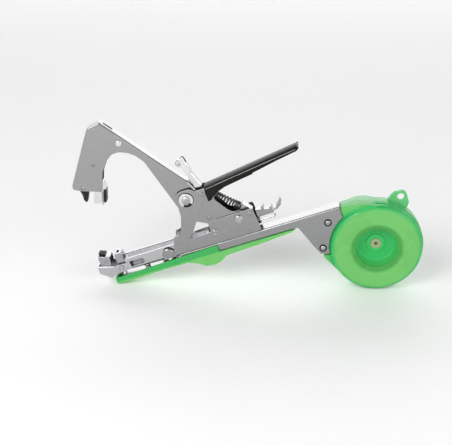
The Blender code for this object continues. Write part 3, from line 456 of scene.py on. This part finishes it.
def weighted(piece):
    """Keep flat faces flat next to their rounded edges."""
    change = piece.modifiers.new("flat_faces", 'WEIGHTED_NORMAL')
    change.keep_sharp = True


def evaluated(piece):
    """Mesh of a temporary object with its modifiers, after which the object is gone."""
    bpy.context.view_layer.update()
    depsgraph = bpy.context.evaluated_depsgraph_get()
    mesh = bpy.data.meshes.new_from_object(piece.evaluated_get(depsgraph))
    data = piece.data
    bpy.data.objects.remove(piece)
    if isinstance(data, bpy.types.Curve):
        bpy.data.curves.remove(data)
    return mesh


def temporary(mesh):
    """Object that only carries a mesh through its modifiers."""
    piece = bpy.data.objects.new("temporary", mesh)
    bpy.context.scene.collection.objects.link(piece)
    return piece


def width_of(face):
    """Extent of a face across the tool."""
    across = [vert.co.y for vert in face.verts]
    return max(across) - min(across)


def roll_folds(bm, radius):
    """Roll the corners between a folded sheet's web and its cheeks to the given radius."""
    half = max(abs(vert.co.y) for vert in bm.verts)
    nearly_full = 1.93 * half
    web = [face for face in bm.faces if abs(face.normal.y) < 0.1 and width_of(face) > nearly_full]
    for face in web:
        face.material_index = 1
    cuts = (0.0, 22.0, 42.0, 60.0, 76.0)                             # degrees round the fold
    for angle in cuts:
        level = half - radius + radius * math.sin(math.radians(angle))
        for side in (-1.0, 1.0):
            geometry = bm.verts[:] + bm.edges[:] + bm.faces[:]
            bmesh.ops.bisect_plane(bm, geom=geometry, dist=1e-7, plane_co=(0.0, side * level, 0.0),
                                   plane_no=(0.0, 1.0, 0.0))
    for vert in bm.verts:
        depth = abs(vert.co.y) - (half - radius)
        if depth < 1e-6:
            continue
        normals = []
        for face in vert.link_faces:
            if face.material_index == 1 and all(face.normal.dot(other) < 0.9999 for other in normals):
                normals.append(face.normal.copy())
        if not normals or len(normals) > 2:
            continue
        inward = normals[0]
        if len(normals) == 2:
            inward = (normals[0] + normals[1]) / max(0.5, 1.0 + normals[0].dot(normals[1]))
        vert.co -= inward * (radius - math.sqrt(max(0.0, radius ** 2 - depth ** 2)))
    for face in bm.faces:
        face.material_index = 0
    bm.normal_update()


def refined(node, rim, fold=0.0, finish=None):
    """The CAD node's own shape with its edges rounded: rim on cut edges, fold where the sheet is bent."""
    source = frame["nodes"][node]
    mesh = source.data.copy()
    bm = bmesh.new()
    bm.from_mesh(mesh)
    for vert in bm.verts:
        vert.co.y = round(vert.co.y, 5)
    bmesh.ops.remove_doubles(bm, verts=bm.verts, dist=0.00012)
    bmesh.ops.dissolve_limit(bm, angle_limit=math.radians(0.8), verts=bm.verts, edges=bm.edges)
    bm.normal_update()
    if fold:
        roll_folds(bm, fold * MM)
    rims = [edge for edge in bm.edges if len(edge.link_faces) == 2
            and edge.calc_face_angle(0.0) > math.radians(32.0)]
    bmesh.ops.bevel(bm, geom=rims, offset=rim * MM, segments=2, profile=0.5, affect='EDGES',
                    clamp_overlap=True)
    bm.to_mesh(mesh)
    bm.free()
    shade(mesh, 38.0)
    weighted(add_piece(node + "_fine", mesh, finish or SLOT[node], BODY[node], [node]))


def turned(name, centre, profile, finish, body, nodes=(), steps=48):
    """Profile of (radius, y) in millimetres, spun about the cross axis through a world point."""
    weld = 0.000002
    mesh = bpy.data.meshes.new(name)
    mesh.from_pydata([(radius * MM, y * MM, 0.0) for radius, y in profile],
                     [(index, index + 1) for index in range(len(profile) - 1)], [])
    piece = temporary(mesh)
    screw = piece.modifiers.new("turn", 'SCREW')
    screw.axis = 'Y'
    screw.steps = steps
    screw.render_steps = steps
    screw.use_merge_vertices = True
    screw.merge_threshold = weld
    solid = evaluated(piece)
    bm = bmesh.new()
    bm.from_mesh(solid)
    bmesh.ops.remove_doubles(bm, verts=bm.verts, dist=weld)
    bmesh.ops.recalc_face_normals(bm, faces=bm.faces)
    bm.to_mesh(solid)
    bm.free()
    solid.transform(Matrix.Translation(Vector((centre[0], 0.0, centre[2]))))
    shade(solid, 35.0)
    if body is None:
        return solid
    return add_piece(name, solid, finish, body, nodes)


def dome(radius, foot, height, side, points=6):
    """Rounded head from its rim at y = foot to its crown, as profile points."""
    made = []
    for step in range(points + 1):
        angle = math.pi / 2 * step / points
        made.append((radius * math.cos(angle), side * (foot + height * math.sin(angle))))
    return made


def flat_outline(name, outline, low, high, holes=(), plan=False):
    """Filled outline in the tool's u, v from y = low to y = high, as a mesh in the tool's millimetres.

    With plan, the outline is in u, y and runs from v = low to v = high.
    """
    curve = bpy.data.curves.new(name, 'CURVE')
    curve.dimensions = '2D'
    curve.fill_mode = 'BOTH'
    curve.extrude = (high - low) / 2
    for loop in [outline, *holes]:
        spline = curve.splines.new('POLY')
        spline.points.add(len(loop) - 1)
        for point, place in zip(spline.points, loop):
            point.co = (place[0], place[1], 0.0, 1.0)
        spline.use_cyclic_u = True
    piece = bpy.data.objects.new(name, curve)
    bpy.context.scene.collection.objects.link(piece)
    mesh = evaluated(piece)
    middle = (low + high) / 2
    if plan:
        mesh.transform(Matrix.Translation((0.0, 0.0, middle)))
    else:
        mesh.transform(Matrix.Translation((0.0, middle, 0.0)) @ Matrix.Rotation(math.pi / 2, 4, 'X'))
    bm = bmesh.new()
    bm.from_mesh(mesh)
    bmesh.ops.remove_doubles(bm, verts=bm.verts, dist=0.002)
    bmesh.ops.recalc_face_normals(bm, faces=bm.faces)
    bm.to_mesh(mesh)
    bm.free()
    return mesh


def arc(centre, radius, start, end, steps):
    """Points of an arc, from start to end in degrees."""
    angles = [math.radians(start + (end - start) * step / steps) for step in range(steps + 1)]
    return [(centre[0] + radius * math.cos(a), centre[1] + radius * math.sin(a)) for a in angles]


def circle(centre, radius, count):
    """Closed ring of points."""
    return arc(centre, radius, 0.0, 360.0 * (count - 1) / count, count - 1)


def rounded(outline, steps=6):
    """Outline whose corners (u, v, radius) become short arcs; (u, v) stays sharp."""
    points = []
    for index, corner in enumerate(outline):
        here = Vector(corner[:2])
        if len(corner) < 3:
            points.append((here.x, here.y))
            continue
        before = Vector(outline[index - 1][:2]) - here
        after = Vector(outline[(index + 1) % len(outline)][:2]) - here
        half = before.angle(after) / 2
        reach = min(corner[2] / math.tan(half), before.length * 0.49, after.length * 0.49)
        start = here + before.normalized() * reach
        end = here + after.normalized() * reach
        for step in range(steps + 1):
            t = step / steps
            point = start * (1 - t) ** 2 + here * 2 * t * (1 - t) + end * t ** 2
            points.append((point.x, point.y))
    return points


def combine(body_mesh, steps):
    """Booleans in order: steps are (operation, mesh), all in one space."""
    piece = temporary(body_mesh)
    others = []
    for operation, mesh in steps:
        other = temporary(mesh)
        others.append(other)
        change = piece.modifiers.new(operation, 'BOOLEAN')
        change.operation = operation
        change.solver = 'MANIFOLD'
        change.object = other
    mesh = evaluated(piece)
    for other in others:
        bpy.data.objects.remove(other)
    return mesh


def round_edges(mesh, width, limit, segments):
    """Bevel a mesh's edges that are sharper than limit degrees; width is in the mesh's own units."""
    bm = bmesh.new()
    bm.from_mesh(mesh)
    bmesh.ops.remove_doubles(bm, verts=bm.verts, dist=width * 0.01)
    bmesh.ops.dissolve_limit(bm, angle_limit=math.radians(0.5), verts=bm.verts, edges=bm.edges)
    bm.normal_update()
    edges = [edge for edge in bm.edges if len(edge.link_faces) == 2
             and edge.calc_face_angle(0.0) > math.radians(limit)]
    bmesh.ops.bevel(bm, geom=edges, offset=width, segments=segments, profile=0.5, affect='EDGES',
                    clamp_overlap=True)
    bm.to_mesh(mesh)
    bm.free()
    return mesh


def wire(name, points, radius, finish, body, nodes=(), resolution=4):
    """Round wire through world points."""
    curve = bpy.data.curves.new(name, 'CURVE')
    curve.dimensions = '3D'
    curve.bevel_depth = radius * MM
    curve.bevel_resolution = resolution
    curve.use_fill_caps = True
    spline = curve.splines.new('POLY')
    spline.points.add(len(points) - 1)
    for point, place in zip(spline.points, points):
        point.co = (*place, 1.0)
    piece = bpy.data.objects.new(name, curve)
    bpy.context.scene.collection.objects.link(piece)
    mesh = evaluated(piece)
    shade(mesh, 60.0)
    if body is None:
        return mesh
    return add_piece(name, mesh, finish, body, nodes)


def coil(name, start, end, coil_radius, wire_radius, turns, node, per_turn=20):
    """Compression spring from a world point on the first body to one on the second.

    The end turns lie close, and the turns open out smoothly towards the middle.
    """
    start, end = Vector(start), Vector(end)
    closeness = 0.55
    axis = end - start
    length = axis.length / MM
    axis.normalize()
    side = Vector((0.0, 1.0, 0.0))
    other = axis.cross(side)
    points = []
    count = int(turns * per_turn)
    for step in range(count + 1):
        share = step / count
        travel = share - math.sin(2 * math.pi * share) / (2 * math.pi) * closeness
        turn = 2 * math.pi * step / per_turn
        place = start + axis * (wire_radius + travel * (length - 2 * wire_radius)) * MM
        points.append(place + (side * math.cos(turn) + other * math.sin(turn)) * coil_radius * MM)
    mesh = wire(name, points, wire_radius, None, None, resolution=3)
    piece = bpy.data.objects.new(name, mesh)
    bpy.context.scene.collection.objects.link(piece)
    mesh.materials.append(FINISH["spring_steel"])
    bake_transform(piece)
    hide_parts(node)


# ---------------------------------------------------------------- folded and cut steel
def steel_pieces():
    """Sheet pieces keep the CAD's shape and get rolled folds and broken edges."""
    folded = (("clincher_arm", 1.5, "satin_steel"), ("handle_frame", 1.2, "satin_steel"),
              ("main_channel", 1.5, "satin_steel"), ("magazine_rail", 1.0, "bright_steel"),
              ("nose_guide", 1.2, "bright_steel"), ("nose_block", 1.2, "dull_steel"),
              ("lock_lever", 1.0, "chrome"), ("frame_bridge", 1.0, "satin_steel"),
              ("magazine_cradle", 0.4, "zinc_hardware"), ("staple_guide", 0.3, "zinc_hardware"))
    for node, fold, finish in folded:
        refined(node, 0.18, fold, finish)
    for node in ("side_plate_near", "side_plate_far"):
        refined(node, 0.3)
    for node in ("rod_guide", "frame_spring_seat", "handle_spring_seat", "staple_follower", "driver_blade",
                 "tape_cutter_blade"):
        refined(node, 0.16)
    for node, rim, finish in (("staple_outlet", 0.3, "dull_steel"), ("tape_catch", 0.35, "black_steel"),
                              ("tape_teeth", 0.1, "black_steel"), ("pusher_grip", 0.4, "satin_steel"),
                              ("clincher_block", 0.3, "rough_chrome")):
        refined(node, rim, 0.0, finish)


def magazine_cover():
    """Cover with the long pressed ribs that stiffen it."""
    base = flat_outline("cover_base", [(-79.0, 10.4), (7.2, 10.4), (7.2, 11.2), (-79.0, 11.2)], -6.0, 6.0)
    section = rounded([(-77.5, 10.9), (5.8, 10.9), (5.8, 11.7, 0.5), (-77.5, 11.7, 0.5)])
    half = 0.8
    ribs = []
    for y in (-4.2, -1.4, 1.4, 4.2):
        rib = flat_outline("rib", section, y - half, y + half)
        ribs.append(('UNION', round_edges(rib, 0.3, 50.0, 2)))
    mesh = combine(base, ribs)
    mesh.transform(TOOL)
    shade(mesh, 35.0)
    add_piece("magazine_cover_fine", mesh, "dull_steel", "magazine", ["magazine_cover"])


def cutter_holder():
    """Black holder that keeps the tape cutter against the block at the hook's end."""
    outline = rounded([(-75.9, 72.6, 0.8), (-73.6, 71.8, 0.8), (-68.8, 84.4, 0.6), (-71.4, 85.2, 0.6)])
    mesh = round_edges(flat_outline("holder", outline, -4.6, 4.6), 0.3, 50.0, 2)
    mesh.transform(TOOL)
    shade(mesh, 35.0)
    add_piece("cutter_holder", mesh, "black_steel", "hook_arm")


# ---------------------------------------------------------------- pins, rivets and screws
def pin(node, centre, radius, half, head, height, finish="zinc_hardware"):
    """Straight pin with a domed head at each end."""
    shank = [(radius, -half), (radius, half)]
    profile = dome(head, half, height, -1)[::-1] + shank + dome(head, half, height, 1)
    turned(node + "_fine", centre, profile, finish, BODY[node], [node])


def rivet(node, centre, side, radius, start, seat, head, height, finish="zinc_hardware", ring=0.0):
    """Head and shank on one side of the tool, with an optional turned ring in the head."""
    crown = dome(head, seat, height, side)
    if ring:
        top = side * (seat + height)
        crown = [(head, side * seat), (head, side * (seat + height * 0.7)), (head - 0.3, top),
                 (ring + 0.35, top), (ring, top - side * 0.25), (ring - 0.35, top), (0.0, top)]
    profile = [(0.0, side * start), (radius, side * start), (radius, side * seat)] + crown
    turned(node + "_fine", centre, profile, finish, BODY[node], [node])


def screw_head(node, centre, side, radius, start, seat, head, height):
    """Pan head with a cross recess, like the screws that hold the reel case."""
    shank = [(0.0, side * start), (radius, side * start), (radius, side * seat)]
    body = turned(node, centre, shank + dome(head, seat, height, side, 8), None, None)
    steps = []
    reach, deep, wide, twist = head * 1.15, 0.9, 0.55, 25.0
    crown = Vector((centre[0], side * (seat + height) * MM, centre[2]))
    for quarter in (0, 1):
        bm = bmesh.new()
        bmesh.ops.create_cube(bm, size=1.0)
        slot_mesh = bpy.data.meshes.new("recess")
        shape = Matrix.Diagonal((reach * MM, deep * MM, wide * MM, 1.0))
        turn = Matrix.Rotation(math.radians(90.0 * quarter + twist), 4, 'Y')
        bm.transform(Matrix.Translation(crown) @ turn @ shape)
        bm.to_mesh(slot_mesh)
        bm.free()
        steps.append(('DIFFERENCE', slot_mesh))
    mesh = combine(body, steps)
    shade(mesh, 30.0)
    add_piece(node + "_fine", mesh, "zinc_hardware", BODY[node], [node])


def dark_ring(name, centre, side, inner, outer, low, high):
    """Ring of blackened steel with a rounded rim."""
    near, far = side * low, side * high
    soft = side * 0.2
    profile = [(inner, near), (outer, near), (outer, far - soft), (outer - 0.2, far), (inner, far),
               (inner, near)]
    turned(name, centre, profile, "black_steel", "frame")


def centre_of(node):
    """Middle of a CAD node's box, in the world."""
    low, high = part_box(node)
    return (low + high) / 2


def hardware():
    """Pins, rivets, screws and the lock lever's roller."""
    pin("handle_pivot_pin", HANDLE_PIVOT, 2.8, 9.3, 4.3, 1.3)
    pin("lock_pin", LOCK_PIVOT, 1.5, 9.3, 2.5, 0.6, "satin_steel")
    pin("spring_anchor_pin", centre_of("spring_anchor_pin"), 1.5, 9.3, 2.4, 0.5, "satin_steel")
    pin("arm_rivet", centre_of("arm_rivet"), 1.5, 6.1, 2.8, 0.7, "chrome")
    pin("lock_roller_pin", centre_of("lock_roller_pin"), 1.0, 3.9, 1.7, 0.5)
    plain_pins = (("catch_pin", 1.5, 5.7), ("catch_spring_pin", 1.3, 5.7), ("link_pin", 2.2, 7.3))
    chamfer = 0.2
    for node, radius, half in plain_pins:
        profile = [(0.0, -half), (radius - chamfer, -half), (radius, -half + chamfer),
                   (radius, half - chamfer), (radius - chamfer, half), (0.0, half)]
        turned(node + "_fine", centre_of(node), profile, "zinc_hardware", BODY[node], [node])
    roller = [(1.3, -2.0), (3.2, -2.0), (3.6, -1.6), (3.6, 1.6), (3.2, 2.0), (1.3, 2.0), (1.3, -2.0)]
    turned("lock_roller_fine", centre_of("lock_roller"), roller, "chrome", BODY["lock_roller"],
           ["lock_roller"])
    arm_pin = [(0.0, -12.5), (2.6, -12.5), (3.1, -12.3), (3.9, -11.8), (3.9, -10.9), (3.3, -10.9),
               (3.3, 9.6), (5.6, 9.6), (5.6, 10.6), (5.1, 11.2), (4.2, 11.6), (0.0, 11.7)]
    turned("clincher_pivot_pin_fine", ARM_PIVOT, arm_pin, "zinc_hardware", "frame",
           ["clincher_pivot_pin"], 64)
    refined("clincher_pivot_clip", 0.25)
    # painted shade: a dark ring under the clip, put where there is only shade round it
    dark_ring("clincher_pivot_shade_ring", ARM_PIVOT, -1, 3.8, 7.4, 9.03, 9.26)
    for side, word in ((-1, "near"), (1, "far")):
        rivet("frame_rivet_" + word, centre_of("frame_rivet_" + word), side, 1.6, 5.6, 9.3, 3.0, 0.7,
              "satin_steel", 1.7)
        rivet("magazine_pivot_" + word, MAGAZINE_PIVOT, side, 1.9, 3.9, 9.3, 5.8, 0.9, "satin_steel", 5.0)
        rivet("nose_screw_" + word, centre_of("nose_screw_" + word), side, 1.4, 6.3, 9.3, 2.6, 1.0,
              ring=1.2)
        for level in ("upper", "lower"):
            node = "bracket_screw_" + level + "_" + word
            screw_head(node, centre_of(node), side, 1.5, 3.2, 7.8, 2.5, 1.0)
            dark_ring("screw_seat_" + level + "_" + word, centre_of(node), side, 2.6, 3.6, 7.6, 8.3)


# ---------------------------------------------------------------- springs, rod and staples
def springs():
    """The four compression springs, each between its two bodies."""
    coil("return_spring_fine", tool(25.6, 46.4), tool(45.2, 27.0), 3.2, 0.75, 13, "return_spring")
    coil("magazine_spring_fine", tool(-62.0, 0.3), tool(-62.0, -4.6), 2.6, 0.4, 3.5, "magazine_spring")
    coil("catch_spring_fine", tool(-85.6, 98.6), tool(-73.0, 109.2), 1.5, 0.3, 14, "catch_spring",
         14)
    coil("pusher_spring_fine", tool(-51.4, 7.4), tool(5.2, 7.4), 1.75, 0.3, 34, "pusher_spring",
         12)


def pusher_rod():
    """Rod with a hairpin at its rear end."""
    height, bend = 7.4, 2.1
    turn = arc((71.6, height + bend), bend, -90.0, 90.0, 14)
    straight = [(u, height) for u in (-51.7, -20.0, 20.0, 60.0)]
    route = straight + turn + [(59.0, height + 2 * bend)]
    wire("pusher_rod_fine", [tool(u, v) for u, v in route], 0.9, "chrome", "pusher", ["pusher_rod"], 5)


def staples():
    """Strip of joined staples: each is a crown with two legs, glued side by side."""
    bm = bmesh.new()
    count, first, pitch, wire_size = 30, -79.0, 0.62, 0.56
    for index in range(count):
        u = first + index * pitch
        parts = ((u, 0.0, 3.9, 6.0), (u, -2.72, 6.4, 0.0), (u, 2.72, 6.4, 0.0))
        for part_u, y, v, across in parts:
            size = (wire_size, across, 0.5) if across else (wire_size, 0.5, 5.0)
            shape = Matrix.Translation((part_u, y, v)) @ Matrix.Diagonal((*size, 1.0))
            bmesh.ops.create_cube(bm, size=1.0, matrix=shape)
    bmesh.ops.bevel(bm, geom=bm.edges[:], offset=0.08, segments=1, affect='EDGES', clamp_overlap=True)
    mesh = bpy.data.meshes.new("staples")
    bm.to_mesh(mesh)
    bm.free()
    mesh.transform(TOOL)
    shade(mesh, 30.0)
    add_piece("staple_strip_fine", mesh, "zinc_hardware", "magazine", ["staple_strip"])


# ---------------------------------------------------------------- vinyl grip
def grip():
    """Dipped sleeve with a crowned top; its deeper front skirt ends in a small step."""
    top = [(20.2, 58.6, 1.6), (66.0, 64.2, 14.0), (113.2, 69.9, 3.2), (116.4, 67.8, 2.6)]
    whole = rounded(top + [(112.6, 65.4, 3.0), (92.9, 62.4, 14.0), (68.9, 58.0, 4.0), (60.0, 57.2),
                           (19.4, 52.0)], 8)
    front = rounded([(19.7, 58.2, 0.8), (68.4, 64.1), (68.0, 57.0, 1.2), (56.8, 55.6, 9.0),
                     (39.0, 53.0, 9.0), (30.4, 50.1, 5.0), (24.4, 46.2, 3.0), (22.6, 44.2, 1.5),
                     (19.2, 44.0, 1.0)], 8)
    hollow = [(10.0, 56.1), (20.8, 57.1), (66.0, 62.8), (110.9, 68.0), (113.0, 66.4), (113.6, 50.0),
              (10.0, 30.0)]
    body = round_edges(flat_outline("whole", whole, -8.6, 8.6), 0.9, 50.0, 4)
    skirt = round_edges(flat_outline("front", front, -8.9, 8.9), 0.9, 50.0, 4)
    mesh = combine(body, [('UNION', skirt), ('DIFFERENCE', flat_outline("hollow", hollow, -7.7, 7.7))])
    bm = bmesh.new()
    bm.from_mesh(mesh)
    for y in (-7.6, -6.0, -4.4, -2.8, -1.0, 1.0, 2.8, 4.4, 6.0, 7.6):
        geometry = bm.verts[:] + bm.edges[:] + bm.faces[:]
        bmesh.ops.bisect_plane(bm, geom=geometry, plane_co=(0.0, y, 0.0), plane_no=(0.0, 1.0, 0.0))
    front_u, front_v, _ = top[0]
    rise, edge_band, crown_drop, half_width = 0.1215, 1.25, 1.9, 8.9
    for vert in bm.verts:
        ceiling = front_v + (vert.co.x - front_u) * rise
        if vert.co.z > ceiling - edge_band:
            vert.co.z -= crown_drop * (vert.co.y / half_width) ** 2
    bm.to_mesh(mesh)
    bm.free()
    mesh.transform(TOOL)
    shade(mesh, 35.0)
    add_piece("handle_grip_fine", mesh, "black_vinyl", "handle", ["handle_grip"])
    # guessed ridges along the grip's top edges, pale in colour: painted highlight
    ridge = ((21.6, 56.4), (30.0, 57.5), (50.0, 60.0), (66.0, 61.9), (90.0, 64.8), (112.4, 67.4))
    for y, word in ((-8.5, "near"), (8.5, "far")):
        wire("grip_ridge_" + word, [tool(u, v, y) for u, v in ridge], 0.34, "painted_highlight_vinyl", "handle")


# ---------------------------------------------------------------- reel case
REEL_UV = tool_uv(REEL)


def case_piece(name, side, dish, cavity, extra, hub_hole):
    """One half of the case: a fine turned dish joined to its throat, snout and flare."""
    steps = 144
    mirrored = [[(r, y * side) for r, y in loop] for loop in (dish, cavity)]
    body = turned(name, REEL, mirrored[0], None, None, steps=steps)
    void = turned(name, REEL, mirrored[1], None, None, steps=steps)
    into_tool = TOOL.inverted()
    body.transform(into_tool)
    void.transform(into_tool)
    throat = [(97.5, -2.2), (97.5, -12.0), (101.2, -29.5), (105.2, -39.8), (112.0, -43.5), (124.0, -48.5),
              (136.0, -28.0), (146.0, -2.2)]
    snout = [(134.8, -1.2, 0.8), (134.8, -26.0), (144.0, -24.6), (161.5, -13.0), (168.5, -9.4),
             (159.0, -4.0, 12.0), (151.0, -2.0, 8.0)]
    flare = [(104.6, -44.8, 0.6), (110.0, -56.0, 14.0), (116.6, -69.5), (127.0, -65.0), (128.0, -46.6)]
    throat_in = [(90.0, -3.6), (90.0, -9.0), (97.5, -11.0), (102.6, -29.0), (106.4, -38.9), (112.6, -42.2),
                 (126.0, -47.5), (137.4, -29.0), (147.6, -3.4)]
    snout_in = [(136.4, -2.8), (136.4, -24.4), (145.0, -23.5), (162.0, -14.6), (162.6, -8.8), (157.6, -5.7),
                (150.6, -3.7)]
    flare_in = [(111.0, -54.0), (118.4, -66.4), (129.0, -62.0), (129.6, -46.0)]

    def slab(outline, half, past):
        """Block from past the middle plane out to half the width."""
        low, high = sorted((-side * past, side * half))
        return flat_outline("slab", rounded(outline), low, high)

    splay = [(130.0, side * 7.4), (134.8, side * 7.4), (150.5, side * 11.9), (180.0, side * 11.9),
             (180.0, side * 15.0), (130.0, side * 15.0)]
    trim = flat_outline("splay", splay, -45.0, 10.0, plan=True)
    wide = combine(slab(snout, 12.4, 2.8), [('DIFFERENCE', trim)])
    moves = [('UNION', slab(throat, 6.0, 2.4)), ('UNION', round_edges(wide, 0.8, 40.0, 3)),
             ('UNION', round_edges(slab(flare, 7.2, 3.1), 0.9, 50.0, 3))]
    moves += [('UNION', piece) for piece in extra]
    moves += [('DIFFERENCE', void), ('DIFFERENCE', slab(throat_in, 4.7, 5.2)),
              ('DIFFERENCE', slab(snout_in, 6.0, 5.6)), ('DIFFERENCE', slab(flare_in, 5.8, 4.8))]
    block = [(80.0, 20.0), (80.0, -110.0), (215.0, -110.0), (215.0, 20.0)]
    holes = [circle(REEL_UV, 21.9, 96)] if hub_hole else []
    half_seam, across = 0.15, 9.0
    low, high = sorted((side * half_seam, -side * across))
    moves.append(('DIFFERENCE', flat_outline("seam", block, low, high, holes)))
    mesh = combine(body, moves)
    mesh.transform(TOOL)
    shade(mesh, 28.0)
    return mesh


def reel_case():
    """Near half with the stepped hub cup, far half with the boss and the hang lug."""
    rim = [(44.3, -2.0), (44.3, 8.6)] + arc((40.4, 8.6), 3.9, 0.0, 90.0, 10)
    rim_in = [(41.8, -6.0), (41.8, 8.4), (40.8, 10.0), (39.0, 10.9)]
    step = [(44.3, -2.0), (44.3, 4.0)] + arc((44.0, 4.0), 0.3, 0.0, 90.0, 3) + [(43.5, 4.35), (43.4, 4.7)]
    dish = step + arc((38.6, 7.7), 4.8, 0.0, 90.0, 12)
    lip = [(25.4, 12.5), (24.2, 12.3), (22.6, 11.7), (21.2, 11.5)]
    inner_lip = arc((20.6, 10.9), 0.6, 90.0, 175.0, 5)
    floor = [(19.0, -0.6)] + arc((17.2, -0.6), 1.8, 0.0, -90.0, 6) + [(10.6, -2.4)]
    boss = [(9.6, -2.2), (9.0, -1.5), (8.2, -1.1), (5.4, -1.0), (4.2, -1.2), (4.2, -3.2)]
    near = dish + lip + inner_lip + floor + boss + [(22.3, -3.2), (22.3, -2.0), (44.3, -2.0)]
    near_in = rim_in + [(26.0, 10.9), (23.0, 10.2), (21.5, 10.0), (21.5, -6.0), (41.8, -6.0)]
    mesh = case_piece("reel_case_near_fine", -1, near, near_in, [], True)
    add_piece("reel_case_near_fine", mesh, "reel", "frame", ["reel_case_near"])
    far = rim + arc((26.4, 12.1), 0.4, 90.0, 180.0, 3)
    far += [(25.2, 11.7), (3.6, 11.7), (3.6, -2.0), (44.3, -2.0)]
    far_in = [(0.0, -6.0)] + rim_in + [(26.6, 10.9), (25.0, 10.1), (8.0, 10.1), (8.0, 3.5), (0.0, 3.5)]
    u, v = REEL_UV[0] + 35.3, REEL_UV[1] + 37.5
    lug = rounded([(u - 16.0, v - 1.4), (u - 5.4, v + 6.2, 7.0), (u + 6.2, v + 5.6, 7.5),
                   (u + 5.8, v - 8.0, 4.0), (u + 0.4, v - 15.4)], 12)
    eye = circle((u, v), 3.4, 40)
    tab = round_edges(flat_outline("lug", lug, 4.4, 7.6, [eye]), 0.5, 50.0, 3)
    mesh = case_piece("reel_case_far_fine", 1, far, far_in, [tab], False)
    add_piece("reel_case_far_fine", mesh, "reel_far", "frame", ["reel_case_far"])


def hub_and_reel():
    """Eyelet of the hub, and the roll of tape on its core."""
    tube = [(1.6, 0.3), (1.9, -0.2), (4.4, -0.2), (5.2, 0.2), (5.2, 0.5), (3.5, 0.5), (3.5, 12.0),
            (5.2, 12.0), (5.2, 12.2), (4.9, 12.4), (1.9, 12.4), (1.6, 12.2), (1.6, 0.3)]
    turned("hub_eyelet_fine", REEL, tube, "eyelet", "frame", ["hub_eyelet"])
    core = [(22.1, -5.5), (23.7, -5.5), (23.7, 5.5), (22.1, 5.5), (22.1, -5.5)]
    turned("tape_core_fine", REEL, core, "core_card", "tape_reel", ["tape_core"], 96)
    sides = [(24.0 + step * 1.3, 5.5 - 0.12 * (step % 2)) for step in range(11)]
    roll = [(r, -y) for r, y in sides] + sides[::-1] + [(sides[0][0], -sides[0][1])]
    turned("tape_roll_fine", REEL, roll, "tape_film", "tape_reel", ["tape_roll"], 120)


# ---------------------------------------------------------------- stage and light
def area_light(name, place, aim, size, power):
    """Rectangular softbox that the camera itself doesn't see."""
    data = bpy.data.lights.new(name, 'AREA')
    data.shape = 'RECTANGLE'
    data.size, data.size_y = size
    data.energy = power
    light = bpy.data.objects.new(name, data)
    light.location = place
    light.rotation_euler = (Vector(aim) - Vector(place)).to_track_quat('-Z', 'Y').to_euler()
    light.visible_camera = False
    bpy.context.scene.collection.objects.link(light)


def stage():
    """Pale sweep: a floor that curves up into the backdrop, behind the tool."""
    near, depth, radius, height, half = -3.0, 3.2, 0.9, 4.0, 6.0
    profile = [(near, 0.0)] + arc((depth, radius), radius, -90.0, 0.0, 24) + [(depth + radius, height)]
    bm = bmesh.new()
    rows = [[bm.verts.new((x, y, z)) for y, z in profile] for x in (-half, half)]
    for first, second, third, fourth in zip(rows[0], rows[0][1:], rows[1][1:], rows[1]):
        bm.faces.new((first, fourth, third, second))
    mesh = bpy.data.meshes.new("sweep")
    bm.to_mesh(mesh)
    bm.free()
    mesh.shade_smooth()
    shader = Shader("sweep_paper", (0.95, 0.95, 0.95), 0.7)
    grain = shader.noise(300.0, 3.0)
    shader.link(shader.ramp(grain, [(0.0, (0.94, 0.94, 0.94)), (1.0, (0.96, 0.96, 0.96))], 0.3, 0.7),
                "Base Color")
    shader.bump((grain, 0.05, 0.0002))
    mesh.materials.append(shader.material)
    sweep = bpy.data.objects.new("sweep", mesh)
    bpy.context.scene.collection.objects.link(sweep)


def lights():
    """Bright card behind the tool for its top faces, soft key in front, darker sky overhead."""
    aim = (0.0, 0.0, 0.06)
    area_light("back_softbox", (0.15, 3.1, 1.45), aim, (6.0, 2.3), 66.0)
    area_light("key_softbox", (-0.75, -0.95, 0.95), aim, (0.8, 0.7), 10.0)
    area_light("front_strip", (0.0, -1.35, 1.0), aim, (2.6, 0.28), 3.5)
    area_light("fill_softbox", (1.15, -0.75, 0.75), aim, (0.7, 0.7), 4.0)
    world = bpy.data.worlds.new("studio")
    bpy.context.scene.world = world
    world.use_nodes = True
    tree = world.node_tree
    background = tree.nodes["Background"]
    height = tree.nodes.new("ShaderNodeSeparateXYZ")
    tree.links.new(tree.nodes.new("ShaderNodeTexCoord").outputs["Generated"], height.inputs[0])
    sky = tree.nodes.new("ShaderNodeValToRGB")
    tree.links.new(height.outputs[2], sky.inputs[0])
    stops = ((0.0, 0.97), (0.55, 0.97), (0.70, 0.05), (1.0, 0.02))
    while len(sky.color_ramp.elements) < len(stops):
        sky.color_ramp.elements.new(0.5)
    for element, (place, level) in zip(sky.color_ramp.elements, stops):
        element.position = place
        element.color = (level, level, level, 1.0)
    tree.links.new(sky.outputs[0], background.inputs["Color"])


def carried_over():
    """CAD nodes that keep their own mesh still get the fine finish."""
    for node, thing in frame["nodes"].items():
        finish = "cover" if node == "lower_cover" else SLOT[node]
        if finish == "green_plastic":
            finish = "reel"
        for place in thing.material_slots:
            place.material = FINISH[finish]


add_camera()
carried_over()
steel_pieces()
magazine_cover()
cutter_holder()
hardware()
springs()
pusher_rod()
staples()
grip()
reel_case()
hub_and_reel()
refined("lower_cover", 0.7, 0.0, "cover")
stage()
lights()
